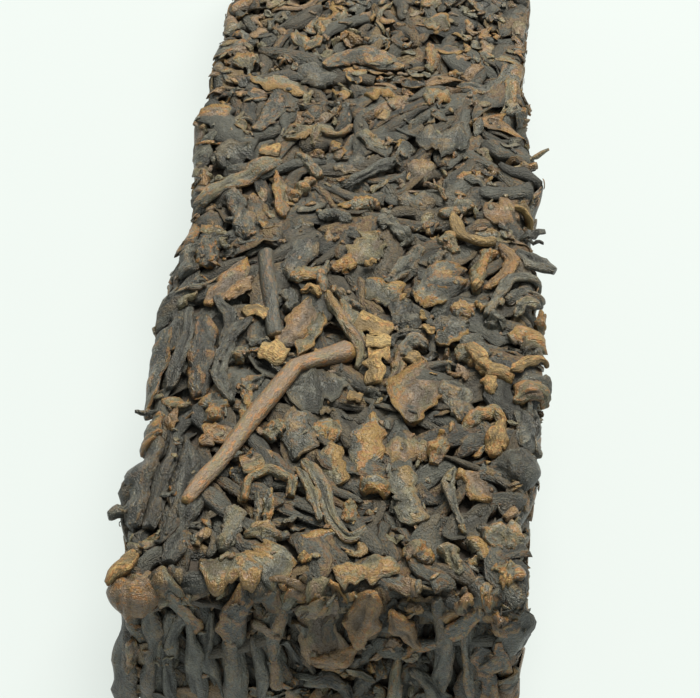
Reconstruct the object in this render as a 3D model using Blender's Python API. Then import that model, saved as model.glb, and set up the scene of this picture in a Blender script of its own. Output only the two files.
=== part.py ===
"""A pressed pu erh tea brick: a long bar of rolled leaves, flat leaf flakes, stems and chips.

The bar holds together as one piece, so it is one solid. Its core is a rough block that lies a
little inside the pressed faces, and the leaves, stems and chips that show are fused onto it at
their true size, each as a shape of few sides. The underside is flat, as the press left it.

Metres, +Z up. The bar runs along Y and stands on z = 0, with its middle over the origin.
"""
import math
import random

import bmesh
import bpy
import numpy as np
from mathutils import Matrix, Vector, noise

MM = 0.001

# The pressed bar.
WIDTH = 45.0 * MM
LENGTH = 150.0 * MM
HEIGHT = 25.0 * MM

# The rough core under the leaves.
CORE_INSET = 1.0 * MM
CORE_ROUND = 1.2 * MM
CORE_RIM = 2.2 * MM
CORE_LUMP = 1.3 * MM
CORE_LUMP_SIZE = 5.0 * MM
CORE_CELL = 6.2 * MM

# How the press squeezes whatever stands out past its walls.
PRESS_GIVE = 0.7 * MM
PRESS_SLACK = 0.5 * MM
BASE_GAP = 0.25 * MM

# Where the long edges bulge or have crumbled away: place along Y, outward reach, spread.
RIGHT_EDGE = (
    (62.0, -0.9, 5.0), (45.0, 0.8, 6.0), (17.0, -1.0, 5.0), (6.0, -1.7, 2.5), (-5.0, 0.6, 3.5),
    (-15.0, -0.7, 4.0), (-33.0, 1.0, 11.0), (-63.5, -1.4, 6.0), (-73.0, -1.1, 3.0),
)
LEFT_EDGE = (
    (68.0, -0.5, 4.0), (55.0, 0.7, 7.0), (40.0, -0.6, 5.0), (10.0, -0.3, 3.0), (4.0, 0.6, 3.0),
    (-14.0, -1.1, 6.0), (-36.0, 0.6, 8.0), (-55.0, -0.5, 3.0), (-62.0, 0.8, 4.5), (-72.0, -0.9, 4.0),
)
EDGE_FADE_FROM = 0.55

# Rolled leaves: how many lie on each face, and their sizes.
TOP_LEAVES = 54
SIDE_LEAVES = 21
END_LEAVES = 6
LEAF_LENGTH = (9.0 * MM, 16.0 * MM)
LEAF_WIDTH = (2.4 * MM, 5.0 * MM)
TOP_SIDES = 5
SIDE_SIDES = 4
TOP_TAPER = (0.45, 1.0, 0.95, 0.4)
SIDE_TAPER = (0.5, 1.0, 0.45)
LEAF_FLATNESS = 0.5
LEAF_DRIFT_SIZE = 16.0 * MM

# Flat flakes of open leaf.
TOP_FLAKES = 9
SIDE_FLAKES = 2
END_FLAKES = 1
FLAKE_LENGTH = (7.0 * MM, 11.0 * MM)
FLAKE_WIDTH = (5.0 * MM, 8.0 * MM)
FLAKE_THICKNESS = 0.9 * MM
FLAKE_WAVE = 0.35 * MM

# How pieces are spread over a face and how they lie on it.
PLACE_DRAWS = 12
FACE_MARGIN = 3.0 * MM
SINK_CHANGE = 0.3 * MM
TURN_CHANGE = 0.3
TILT_CHANGE = 0.06

# Stems, through points in mm, with their thickness. Each is slightly swollen where it bends.
STEM_SIDES = 7
STEM_NODE, STEM_END = 1.06, 0.97
STEMS = {
    "kinked_stem": (((0.9, -39.0, 24.3), (-5.1, -43.2, 24.9),
                     (-10.4, -53.4, 24.6), (-15.9, -64.8, 23.9)), 2.4),
    "short_stem": (((-12.6, -21.4, 24.2), (-11.2, -29.0, 24.6), (-9.9, -35.8, 24.7)), 1.8),
    "straight_stem": (((9.2, 41.0, 24.2), (3.5, 52.0, 24.5)), 2.2),
}

# Chips and balled leaves: place, size, and for chips the turn, in mm and radians.
CHIP_CHANGE = 0.12
CHIPS = {
    "block_chip": ((3.3, -42.5, 24.4), (3.4, 2.6), 0.2, 2.2),
    "square_chip": ((3.5, -38.6, 24.6), (2.8, 2.2), 0.0, 1.8),
    "round_chip": ((-9.6, -40.7, 24.8), (2.6, 1.8), 0.5, 1.8),
    "long_chip": ((13.6, -17.4, 24.5), (4.4, 1.9), -0.5, 2.2),
    "bud": ((16.6, -42.4, 24.5), (3.6, 2.2), -0.7, 2.4),
}
LUMP_CRUMPLE = 0.22
LUMPS = {
    "corner_lump": ((-19.6, -73.4, 22.0), (6.0, 5.0, 6.2)),
    "edge_knob": ((20.0, -56.4, 22.4), (5.4, 5.8, 5.4)),
}

# Leaf tips that have sprung out of the long edges: root and point in mm.
TIP_SIDES = 5
TIP_HALF_WIDTHS = (1.3 * MM, 1.1 * MM, 0.35 * MM)
TIP_HALF_HEIGHTS = (0.7 * MM, 0.5 * MM, 0.25 * MM)
TIPS = {
    "tip_far": ((20.6, -3.4, 24.3), (24.4, -1.4, 24.6)),
    "tip_middle": ((20.4, -17.6, 23.7), (23.6, -18.9, 24.0)),
    "tip_near": ((20.2, -21.8, 24.1), (25.0, -23.4, 24.2)),
    "tip_left": ((-20.4, -61.6, 21.4), (-24.6, -63.4, 21.8)),
    "tip_left_far": ((-20.2, 2.2, 23.2), (-23.8, 4.4, 23.8)),
}

SEED = 23


def reach_past_edge(lobes, y):
    """How far a long edge stands out at y: the sum of its bulges and hollows, each a soft bell."""
    total = 0.0
    for place, reach, spread in lobes:
        total += reach * MM * math.exp(-((y - place * MM) / (spread * MM)) ** 2)
    return total


def follow_edges(point):
    """Moves a point sideways with the long edge that it is near."""
    lobes = RIGHT_EDGE if point.x > 0 else LEFT_EDGE
    side = 1.0 if point.x > 0 else -1.0
    start = EDGE_FADE_FROM * WIDTH / 2
    share = min(max((abs(point.x) - start) / (WIDTH / 2 - start), 0.0), 1.0)
    return Vector((point.x + side * share * reach_past_edge(lobes, point.y), point.y, point.z))


def squeezed(value, wall):
    """Leaves a value alone well inside a wall, and crowds it up against the wall near it."""
    start = wall - PRESS_GIVE
    if value <= start:
        return value
    return wall - PRESS_GIVE * math.exp((start - value) / PRESS_GIVE)


def pressed(point):
    """Keeps a point of a leaf inside the press, then lets it follow the uneven long edges."""
    side = 1.0 if point.x > 0 else -1.0
    end = 1.0 if point.y > 0 else -1.0
    x = side * squeezed(abs(point.x), WIDTH / 2 + PRESS_SLACK)
    y = end * squeezed(abs(point.y), LENGTH / 2 + PRESS_SLACK)
    z = squeezed(point.z, HEIGHT + PRESS_SLACK)
    z = -squeezed(-z, -BASE_GAP)
    return follow_edges(Vector((x, y, z)))


def new_object(name, vertices, faces, collection):
    """A mesh object from points and faces, with its normals turned outwards."""
    mesh = bpy.data.meshes.new(name)
    mesh.from_pydata([tuple(v) for v in vertices], [], faces)
    shape = bmesh.new()
    shape.from_mesh(mesh)
    bmesh.ops.triangulate(shape, faces=shape.faces[:])
    bmesh.ops.recalc_face_normals(shape, faces=shape.faces[:])
    shape.to_mesh(mesh)
    shape.free()
    result = bpy.data.objects.new(name, mesh)
    collection.objects.link(result)
    return result


def core_point(point):
    """Turns a point of the plain block into one of the rough core."""
    half = Vector((WIDTH / 2, LENGTH / 2, HEIGHT / 2))
    centred = Vector((point.x, point.y, point.z - HEIGHT / 2))
    on_wall = [abs(abs(centred[axis]) - half[axis]) < 1e-6 for axis in range(3)]
    if centred.z < 0:
        on_wall[2] = False
    lump = CORE_LUMP * noise.noise(point / CORE_LUMP_SIZE)
    depth = CORE_INSET - lump + (CORE_ROUND if sum(on_wall) > 1 else 0.0)
    for axis in range(3):
        if on_wall[axis]:
            centred[axis] -= math.copysign(depth, centred[axis])
    return follow_edges(Vector((centred.x, centred.y, centred.z + HEIGHT / 2)))


def core_cuts(low, size):
    """Where the block is cut across one axis: a narrow rim at both ends, and even cells between."""
    cells = round((size - 2 * CORE_RIM) / CORE_CELL)
    step = (size - 2 * CORE_RIM) / cells
    return [low + CORE_RIM + number * step for number in range(cells + 1)]


def core_block(collection):
    """The core: a block cut into cells, with its skin pushed in and out, and one flat base face."""
    shape = bmesh.new()
    bmesh.ops.create_cube(shape, size=1.0)
    bmesh.ops.scale(shape, vec=(WIDTH, LENGTH, HEIGHT), verts=shape.verts)
    bmesh.ops.translate(shape, vec=(0, 0, HEIGHT / 2), verts=shape.verts)
    for axis, size, low in ((0, WIDTH, -WIDTH / 2), (1, LENGTH, -LENGTH / 2), (2, HEIGHT, 0.0)):
        direction = Vector([1.0 if axis == number else 0.0 for number in range(3)])
        for cut in core_cuts(low, size):
            everything = shape.verts[:] + shape.edges[:] + shape.faces[:]
            bmesh.ops.bisect_plane(shape, geom=everything, plane_co=direction * cut, plane_no=direction)
    base = [face for face in shape.faces if face.calc_center_median().z < 1e-6]
    bmesh.ops.dissolve_faces(shape, faces=base)
    for vertex in shape.verts:
        vertex.co = core_point(vertex.co)
    bmesh.ops.triangulate(shape, faces=shape.faces[:])
    bmesh.ops.recalc_face_normals(shape, faces=shape.faces[:])
    mesh = bpy.data.meshes.new("tea_brick")
    shape.to_mesh(mesh)
    shape.free()
    result = bpy.data.objects.new("tea_brick", mesh)
    collection.objects.link(result)
    return result


def tube(path, half_widths, half_heights, sides, turn=0.0):
    """Rings of points around a path of (place, side, up) frames, and the faces between them.

    Ring number i is an ellipse of the given half width and half height, turned about the path by
    i times the turn. Both ends are closed by a face.
    """
    vertices = []
    for number, (place, side, up) in enumerate(path):
        for step in range(sides):
            angle = 2 * math.pi * step / sides + number * turn
            across = side * (math.cos(angle) * half_widths[number])
            vertices.append(place + across + up * (math.sin(angle) * half_heights[number]))
    faces = []
    for ring in range(len(path) - 1):
        for step in range(sides):
            after = (step + 1) % sides
            low = ring * sides
            high = low + sides
            faces.append((low + step, low + after, high + after, high + step))
    faces.append(tuple(reversed(range(sides))))
    faces.append(tuple(range((len(path) - 1) * sides, len(path) * sides)))
    return vertices, faces


def rolled_leaf(draw, taper, sides):
    """A rolled leaf about its own middle: a flattened tube on an arc, pinched at both ends."""
    length = draw.uniform(*LEAF_LENGTH)
    width = draw.uniform(*LEAF_WIDTH)
    bend = draw.uniform(-0.9, 0.9)
    radius = length / max(abs(bend), 0.05)
    rings = len(taper)
    path = []
    for number in range(rings):
        angle = abs(bend) * (number / (rings - 1) - 0.5)
        place = Vector((radius * math.sin(angle), radius * (1 - math.cos(angle)), 0.0))
        side = Vector((-math.sin(angle), math.cos(angle), 0.0))
        if bend < 0:
            place.y = -place.y
            side.x = -side.x
        path.append((place, side, Vector((0, 0, 1))))
    half_widths = [width / 2 * share for share in taper]
    half_heights = [size * LEAF_FLATNESS + 0.25 * MM for size in half_widths]
    vertices, faces = tube(path, half_widths, half_heights, sides, draw.uniform(-0.35, 0.35))
    return vertices, faces, max(half_heights)


def leaf_flake(draw):
    """A flat flake of open leaf: a thin wavy sheet with a torn outline."""
    length = draw.uniform(*FLAKE_LENGTH)
    width = draw.uniform(*FLAKE_WIDTH)
    phase = draw.uniform(0, 2 * math.pi)
    columns, rows = 4, 3
    upper, lower = [], []
    for row in range(rows + 1):
        for column in range(columns + 1):
            across = 2 * row / rows - 1
            along = 2 * column / columns - 1
            shrink = 1.0 - 0.35 * abs(across) ** 2 * abs(along) + draw.uniform(-0.12, 0.12)
            x = length / 2 * along * shrink
            y = width / 2 * across * shrink * (1.0 - 0.3 * along ** 2)
            z = FLAKE_WAVE * math.sin(phase + 2.2 * along + 1.7 * across)
            upper.append(Vector((x, y, z + FLAKE_THICKNESS / 2)))
            lower.append(Vector((x, y, z - FLAKE_THICKNESS / 2)))
    stride = columns + 1
    below = len(upper)
    faces = []
    for row in range(rows):
        for column in range(columns):
            a = row * stride + column
            b, c, d = a + 1, a + stride + 1, a + stride
            faces += [(a, b, c), (a, c, d)]
            faces += [(a + below, c + below, b + below), (a + below, d + below, c + below)]
    rim = list(range(columns))
    rim += [row * stride + columns for row in range(rows)]
    rim += [rows * stride + column for column in range(columns, 0, -1)]
    rim += [row * stride for row in range(rows, 0, -1)]
    for here, after in zip(rim, rim[1:] + rim[:1]):
        faces.append((after, here, here + below, after + below))
    return upper + lower, faces, FLAKE_THICKNESS / 2


def stem(points, thickness):
    """A piece of stalk: a round tube through points, with a slightly swollen node at each bend."""
    points = [Vector(point) * MM for point in points]
    path, halves = [], []
    for number, place in enumerate(points):
        before = points[max(number - 1, 0)]
        after = points[min(number + 1, len(points) - 1)]
        along = (after - before).normalized()
        side = Vector((0, 0, 1)).cross(along).normalized()
        path.append((place, side, along.cross(side)))
        inner = 0 < number < len(points) - 1
        halves.append(thickness * MM / 2 * (STEM_NODE if inner else STEM_END))
    return tube(path, halves, halves, STEM_SIDES)


def chip(place, size, turn, height):
    """A small broken block: a box with its corners moved, set on the top at a place in mm."""
    draw = random.Random(int(place[0] * 10) + int(place[1] * 7))
    length, width = size
    vertices = []
    for z in (-1, 1):
        for x, y in ((-1, -1), (1, -1), (1, 1), (-1, 1)):
            move = Vector([draw.uniform(-CHIP_CHANGE, CHIP_CHANGE) for _ in range(3)])
            corner = Vector((x * length / 2, y * width / 2, z * height / 2)) + move * width
            vertices.append((Matrix.Rotation(turn, 3, 'Z') @ corner + Vector(place)) * MM)
    faces = [(3, 2, 1, 0), (4, 5, 6, 7)]
    faces += [(side, (side + 1) % 4, (side + 1) % 4 + 4, side + 4) for side in range(4)]
    return vertices, faces


def lump(place, size):
    """A balled-up leaf: a coarse ball with a crumpled skin, at a place in mm."""
    shape = bmesh.new()
    bmesh.ops.create_icosphere(shape, subdivisions=2, radius=1.0)
    centre = Vector(place)
    vertices = []
    for vertex in shape.verts:
        crumple = 1.0 + LUMP_CRUMPLE * noise.noise(vertex.co * 1.7 + centre)
        vertices.append((centre + Vector([c * s / 2 for c, s in zip(vertex.co, size)]) * crumple) * MM)
    faces = [tuple(vertex.index for vertex in face.verts) for face in shape.faces]
    shape.free()
    return vertices, faces


def spread(count, width, height, draw):
    """Even places on a face: each next place is the one of a few draws farthest from all others."""
    chosen = []
    for _ in range(count):
        tries = [(draw.uniform(-width / 2, width / 2), draw.uniform(-height / 2, height / 2))
                 for _ in range(PLACE_DRAWS)]
        gaps = [min((math.dist(place, other) for other in chosen), default=0.0) for place in tries]
        chosen.append(tries[gaps.index(max(gaps))])
    return chosen


def face_frames():
    """The faces that leaves lie on: name, matrix to the face, width, height, leaves, flakes."""
    facing = {
        "top": (((1, 0, 0), (0, 1, 0), (0, 0, 1)), (0, 0, HEIGHT)),
        "right": (((0, 0, 1), (1, 0, 0), (0, 1, 0)), (WIDTH / 2, 0, HEIGHT / 2)),
        "left": (((0, 0, -1), (1, 0, 0), (0, -1, 0)), (-WIDTH / 2, 0, HEIGHT / 2)),
        "near": (((1, 0, 0), (0, 0, -1), (0, 1, 0)), (0, -LENGTH / 2, HEIGHT / 2)),
        "far": (((1, 0, 0), (0, 0, 1), (0, -1, 0)), (0, LENGTH / 2, HEIGHT / 2)),
    }
    to_face = {name: Matrix.Translation(middle) @ Matrix(turn).to_4x4()
               for name, (turn, middle) in facing.items()}
    return (
        ("top", to_face["top"], WIDTH, LENGTH, TOP_LEAVES, TOP_FLAKES),
        ("right", to_face["right"], LENGTH, HEIGHT, SIDE_LEAVES, SIDE_FLAKES),
        ("left", to_face["left"], LENGTH, HEIGHT, SIDE_LEAVES, SIDE_FLAKES),
        ("near", to_face["near"], WIDTH, HEIGHT, END_LEAVES, END_FLAKES),
        ("far", to_face["far"], WIDTH, HEIGHT, END_LEAVES, END_FLAKES),
    )


def cover_face(number_of_face, face, draw, collection):
    """Lays flakes, then rolled leaves, evenly over one face, each with its back at the press wall."""
    name, to_face, width, height, leaves, flakes = face
    places = spread(leaves + flakes, width - FACE_MARGIN, height - FACE_MARGIN, draw)
    taper, sides = (TOP_TAPER, TOP_SIDES) if name == "top" else (SIDE_TAPER, SIDE_SIDES)
    lie = math.pi / 2 if name == "top" else 0.0
    for number, (across, up) in enumerate(places):
        is_flake = number < flakes
        if is_flake:
            vertices, faces, half_height = leaf_flake(draw)
        else:
            vertices, faces, half_height = rolled_leaf(draw, taper, sides)
        sink = half_height + draw.uniform(-SINK_CHANGE, SINK_CHANGE)
        drift = math.pi * noise.noise(Vector((across, up, number_of_face * LENGTH)) / LEAF_DRIFT_SIZE)
        turn = Matrix.Rotation(lie + drift + draw.gauss(0, TURN_CHANGE), 4, 'Z')
        tilt = Matrix.Rotation(draw.gauss(0, TILT_CHANGE), 4, 'Y')
        move = to_face @ Matrix.Translation((across, up, -sink)) @ turn @ tilt
        vertices = [pressed(move @ vertex) for vertex in vertices]
        kind = "flake" if is_flake else "leaf"
        new_object(f"{name}_{kind}_{number:03d}", vertices, faces, collection)


def leaf_tip(root, point):
    """The end of a leaf that stands out of an edge: a flat tube from root to point, both in mm."""
    root, point = Vector(root) * MM, Vector(point) * MM
    up = Vector((0, 0, 1))
    side = up.cross(point - root).normalized()
    path = [(root, side, up), (root.lerp(point, 0.6), side, up), (point, side, up)]
    return tube(path, TIP_HALF_WIDTHS, TIP_HALF_HEIGHTS, TIP_SIDES)


def standing_pieces(collection):
    """The stems, chips, balled leaves and leaf tips that can be told apart on this brick."""
    pieces = {name: stem(*row) for name, row in STEMS.items()}
    pieces.update({name: chip(*row) for name, row in CHIPS.items()})
    pieces.update({name: lump(*row) for name, row in LUMPS.items()})
    pieces.update({name: leaf_tip(*row) for name, row in TIPS.items()})
    for name, (vertices, faces) in pieces.items():
        new_object(name, vertices, faces, collection)


def fuse(core, collection):
    """Joins the pieces to the core by one Boolean union, and removes the loose pieces."""
    union = core.modifiers.new("leaves", 'BOOLEAN')
    union.operation = 'UNION'
    union.operand_type = 'COLLECTION'
    union.collection = collection
    union.solver = 'MANIFOLD'
    depsgraph = bpy.context.evaluated_depsgraph_get()
    fused = bpy.data.meshes.new_from_object(core.evaluated_get(depsgraph))
    core.modifiers.clear()
    core.data = fused
    for piece in list(collection.objects):
        bpy.data.objects.remove(piece, do_unlink=True)
    bpy.data.collections.remove(collection)


def keep_largest_shell(core):
    """Deletes every shell but the largest, so scraps are dropped and sealed hollows are filled.

    A shell is the faces that can be reached from one another across edges of two faces each.
    """
    shape = bmesh.new()
    shape.from_mesh(core.data)
    waiting = set(shape.faces)
    shells = []
    while waiting:
        shell, reached = [], [waiting.pop()]
        while reached:
            face = reached.pop()
            shell.append(face)
            for edge in face.edges:
                for other in edge.link_faces:
                    if other in waiting and len(edge.link_faces) == 2:
                        waiting.remove(other)
                        reached.append(other)
        shells.append(shell)
    shells.sort(key=len)
    for shell in shells[:-1]:
        bmesh.ops.delete(shape, geom=shell, context='FACES')
    bmesh.ops.triangulate(shape, faces=shape.faces[:])
    shape.to_mesh(core.data)
    shape.free()
    return len(shells) - 1


def centre_over_origin(core):
    """Moves the mesh so that its box stands on z = 0 with its middle over the origin."""
    count = len(core.data.vertices)
    places = np.empty(count * 3)
    core.data.vertices.foreach_get("co", places)
    places = places.reshape(count, 3)
    low, high = places.min(axis=0), places.max(axis=0)
    shift = np.array([(low[0] + high[0]) / 2, (low[1] + high[1]) / 2, low[2]])
    core.data.vertices.foreach_set("co", (places - shift).ravel())
    core.data.update()
    return shift / MM, (high - low) / MM


def pressed_tea():
    """The leaves' own finish: a dull, dark brown."""
    material = bpy.data.materials.new("pressed_tea")
    material.use_nodes = True
    shader = material.node_tree.nodes["Principled BSDF"]
    shader.inputs["Base Color"].default_value = (0.085, 0.062, 0.040, 1.0)
    shader.inputs["Roughness"].default_value = 0.62
    shader.inputs["Metallic"].default_value = 0.0
    return material


def main():
    """Builds the brick as one object."""
    for old in list(bpy.data.objects):
        bpy.data.objects.remove(old, do_unlink=True)
    scene = bpy.context.scene
    loose = bpy.data.collections.new("loose_leaves")
    scene.collection.children.link(loose)
    draw = random.Random(SEED)
    core = core_block(scene.collection)
    standing_pieces(loose)
    for number, face in enumerate(face_frames()):
        cover_face(number, face, draw, loose)
    fuse(core, loose)
    scraps = keep_largest_shell(core)
    shift, size = centre_over_origin(core)
    core.data.materials.clear()
    core.data.materials.append(pressed_tea())
    print("triangles", len(core.data.polygons), "scraps dropped", scraps)
    print("moved by mm", [round(float(v), 3) for v in shift], "size mm", [round(float(v), 2) for v in size])


main()
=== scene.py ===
# %% [markdown]
# A bar of pressed pu erh tea, leaf by leaf.
#
# Pressed tea is a heap of rolled, folded and torn leaves that a press has squeezed into a bar.
# Nothing on it is smooth or repeated, so neither a texture nor a sculpted block looks right.
# This lesson builds it as the press does: leaves are dropped onto a dark core one after another,
# each settles on what already lies there, and whatever stands out past the press wall is crowded
# back. Every shape is worked out with numpy in millimetres and becomes a mesh in metres.

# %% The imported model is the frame, and its box is the size to keep
import math
from functools import partial

import bpy
import numpy as np
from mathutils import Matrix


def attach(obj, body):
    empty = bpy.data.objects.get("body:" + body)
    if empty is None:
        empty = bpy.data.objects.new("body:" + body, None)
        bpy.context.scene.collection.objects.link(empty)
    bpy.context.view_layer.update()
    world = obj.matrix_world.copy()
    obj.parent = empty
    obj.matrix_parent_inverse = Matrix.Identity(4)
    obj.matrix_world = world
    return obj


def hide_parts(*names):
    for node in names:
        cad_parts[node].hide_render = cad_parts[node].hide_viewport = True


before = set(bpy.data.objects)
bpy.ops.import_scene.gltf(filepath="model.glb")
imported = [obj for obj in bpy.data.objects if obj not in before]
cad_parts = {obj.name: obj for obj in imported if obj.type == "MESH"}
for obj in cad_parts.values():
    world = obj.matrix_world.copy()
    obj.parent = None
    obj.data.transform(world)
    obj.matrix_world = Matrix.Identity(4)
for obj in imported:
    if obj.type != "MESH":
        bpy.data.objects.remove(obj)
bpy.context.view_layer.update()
MM = 0.001
draw = np.random.default_rng(2307)

# %% [markdown]
# The bar's driving sizes. The bar itself is a plain block of 45 x 150 x 25 mm, and leaf tips stand
# out past it, a little further on one side. The model's box is centred with those tips on it, so the
# block's middle lies a fraction of a millimetre off the origin.

# %% Sizes of the bar, in millimetres
WIDTH, LENGTH, HEIGHT = 45.0, 150.0, 25.0
BLOCK_MIDDLE = np.array([-0.2, 0.242, 0.0])

# The coat is the depth of leaves over the core. Places are measured from a skin half way up it.
COAT = 2.4
SKIN_DEPTH = 1.2
SKIN_CORNER = 0.8
HALF_WIDTH = WIDTH / 2 - SKIN_DEPTH
HALF_HEIGHT = HEIGHT / 2 - SKIN_DEPTH
HALF_LENGTH = LENGTH / 2 - SKIN_DEPTH

# %% [markdown]
# The two long edges aren't straight: they bulge where leaves have sprung out and step in where some
# have crumbled away. Each such place is a soft bell along the edge: where it is, how far it reaches
# outwards, and how far it spreads.

# %% The uneven long edges: place along Y, outward reach, spread
RIGHT_EDGE = np.array([
    (62.0, -0.9, 5.0), (45.0, 0.8, 6.0), (17.0, -1.0, 5.0), (11.0, 0.7, 3.0), (6.0, -2.4, 2.2),
    (-5.0, 1.4, 4.0), (-15.0, -0.8, 4.0), (-33.0, 1.1, 11.0), (-43.5, 1.1, 3.5), (-56.0, 0.6, 3.5),
    (-62.5, -1.6, 4.5), (-73.0, -1.0, 3.0),
])
LEFT_EDGE = np.array([
    (68.0, -0.5, 4.0), (55.0, 0.7, 7.0), (40.0, -0.6, 5.0), (17.0, 0.5, 4.0), (4.0, 0.8, 4.0),
    (-5.0, 0.9, 60.0), (-14.0, -1.0, 5.0), (-21.0, 0.9, 3.5), (-33.0, 1.3, 7.0), (-54.5, -0.6, 2.5),
    (-60.0, 1.5, 4.0), (-71.0, -0.8, 3.5),
])
EDGE_FADE_FROM = 0.55

# The left shoulder slopes down over part of the bar: how deep, from how far off the middle, and where.
SHOULDER_DROP, SHOULDER_FROM = 3.0, 14.0
SHOULDER_PLACE, SHOULDER_SPREAD = -38.0, 34.0


def reach_past_edge(lobes, y):
    """Sum of the edge's bells at y: reach times e to the minus squared distance over spread."""
    gap = (y[..., None] - lobes[:, 0]) / lobes[:, 2]
    return (lobes[:, 1] * np.exp(-gap ** 2)).sum(axis=-1)


def edge_shift(x, y):
    """Sideways shift of a point: all of the nearer edge's reach at that edge, and none in the middle."""
    start = EDGE_FADE_FROM * WIDTH / 2
    share = np.clip((np.abs(x) - start) / (WIDTH / 2 - start), 0, 1)
    return share * np.where(x > 0, reach_past_edge(RIGHT_EDGE, y), -reach_past_edge(LEFT_EDGE, y))


def follow_edges(places):
    """Moves points sideways with the long edge that they are near, and lowers those on the shoulder."""
    x, y = places[..., 0], places[..., 1]
    drop = SHOULDER_DROP * np.clip((-SHOULDER_FROM - x) / (WIDTH / 2 - SHOULDER_FROM), 0, 1.2) ** 2
    drop = drop * np.exp(-((y - SHOULDER_PLACE) / SHOULDER_SPREAD) ** 4)
    return np.stack([x + edge_shift(x, y), y, places[..., 2] * (1 - drop / HEIGHT)], axis=-1)


# %% [markdown]
# The camera comes next, because some leaves are placed by where the photograph shows them. It looks
# down along the bar at 45 degrees, turned a little to the left. The same numbers give a function that
# turns a pixel of the photograph into a place on the bar's top.

# %% Camera, and the way back from a pixel to the top face
FRAME_WIDTH, FRAME_HEIGHT = 700, 698
SENSOR = 36.0
LENS = 86.143
CAMERA_PLACE = np.array([9.53, -178.77, 164.58])
CAMERA_LEFT = math.radians(3.71)
CAMERA_DOWN = math.radians(45.01)


def add_object(name, data):
    """A new object that holds the data, linked to the scene."""
    made = bpy.data.objects.new(name, data)
    bpy.context.scene.collection.objects.link(made)
    return made


camera_data = bpy.data.cameras.new("photo_camera")
camera_data.lens = LENS
camera_data.sensor_width = SENSOR
camera_data.sensor_fit = 'HORIZONTAL'
camera_data.clip_start = 0.01
camera_data.clip_end = 20.0
camera = add_object("photo_camera", camera_data)
camera.location = (CAMERA_PLACE + BLOCK_MIDDLE) * MM
camera.rotation_euler = (math.pi / 2 - CAMERA_DOWN, 0.0, CAMERA_LEFT)
bpy.context.scene.camera = camera


def on_plane(pixels, axis, level):
    """Where rays through pixels meet a plane across an axis: camera plus ray times t."""
    pixels = np.atleast_2d(np.asarray(pixels, float))
    focal = LENS / SENSOR * FRAME_WIDTH
    forward = np.array([-math.sin(CAMERA_LEFT) * math.cos(CAMERA_DOWN),
                        math.cos(CAMERA_LEFT) * math.cos(CAMERA_DOWN), -math.sin(CAMERA_DOWN)])
    right = np.array([math.cos(CAMERA_LEFT), math.sin(CAMERA_LEFT), 0.0])
    down = np.cross(forward, right)
    ray = ((pixels[:, :1] - FRAME_WIDTH / 2) / focal * right
           + (pixels[:, 1:] - FRAME_HEIGHT / 2) / focal * down + forward)
    reach = (level - CAMERA_PLACE[axis]) / ray[:, axis]
    return CAMERA_PLACE + ray * reach[:, None]


def on_top(pixels):
    """Places across and along the bar's top that pixels show, with the uneven edges taken back out."""
    places = on_plane(pixels, 2, HEIGHT)[:, :2]
    places[:, 0] -= edge_shift(*places.T)
    return places


def on_near_end(pixels):
    """Places across and up the near end face that pixels show."""
    return on_plane(pixels, 1, -LENGTH / 2)[:, [0, 2]] - [0.0, HEIGHT / 2]


NEAR_RIGHT_CORNER = (542.2, 603.5)
print("near right corner of the top lies at", on_top([NEAR_RIGHT_CORNER])[0].round(1), "mm")

# %% [markdown]
# Leaves bend over the bar's long edges, so the four long faces are treated as one sheet that is
# wrapped round the bar. A place on it has three numbers: s runs round the section from the middle of
# the top, v runs along the bar, and h is the height over the core. Past either end the sheet turns
# over a small radius onto the end face. The middle of each end face is a flat sheet of its own.

# %% The wrapped sheet
TOP_RUN = HALF_WIDTH - SKIN_CORNER
CORNER_RUN = SKIN_CORNER * math.pi / 2
SIDE_RUN = 2 * (HALF_HEIGHT - SKIN_CORNER)
TURNS = np.cumsum([TOP_RUN, CORNER_RUN, SIDE_RUN, CORNER_RUN, TOP_RUN])
ROUND = 2 * TURNS[-1]
END_TURN = HALF_LENGTH - SKIN_CORNER


def section(s):
    """Place and outward normal on the rounded section, piece by piece: top, corner, side, corner, base."""
    s = (s + ROUND / 2) % ROUND - ROUND / 2
    side, u = np.sign(s) + (s == 0), np.abs(s)
    first = np.clip((u - TURNS[0]) / SKIN_CORNER, 0, math.pi / 2)
    second = np.clip((u - TURNS[2]) / SKIN_CORNER, 0, math.pi / 2)
    angle = first + second
    x = np.minimum(u, TURNS[0]) + SKIN_CORNER * np.sin(first) - SKIN_CORNER * (1 - np.cos(second))
    x -= np.maximum(u - TURNS[3], 0)
    z = HALF_HEIGHT - SKIN_CORNER * (1 - np.cos(first)) - np.clip(u - TURNS[1], 0, SIDE_RUN)
    z -= SKIN_CORNER * np.sin(second)
    return x * side, z, np.sin(angle) * side, np.cos(angle)


def wrap(s, v, h):
    """Point of the sheet in space: section place, plus normal times height, turned over past the ends."""
    x, z, nx, nz = section(s)
    end, past = np.sign(v) + (v == 0), np.abs(v) - END_TURN
    angle = np.clip(past / SKIN_CORNER, 0, math.pi / 2)
    inset = SKIN_CORNER * (1 - np.cos(angle)) + np.maximum(past - CORNER_RUN, 0)
    y = end * (np.minimum(np.abs(v), END_TURN) + SKIN_CORNER * np.sin(angle))
    rise = h - SKIN_DEPTH
    out = rise * np.cos(angle) - inset
    return np.stack([x + nx * out, y + end * rise * np.sin(angle), z + nz * out + HEIGHT / 2], axis=-1)


def end_plane(end):
    """A function that puts (s, v, h) on an end face: s across, v up, h outwards along the bar."""
    def place(s, v, h):
        return np.stack([-end * s, end * (HALF_LENGTH + h - SKIN_DEPTH), v + HEIGHT / 2], axis=-1)
    return place


print("sheet is", round(ROUND, 1), "mm round and", LENGTH, "mm long")

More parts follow.
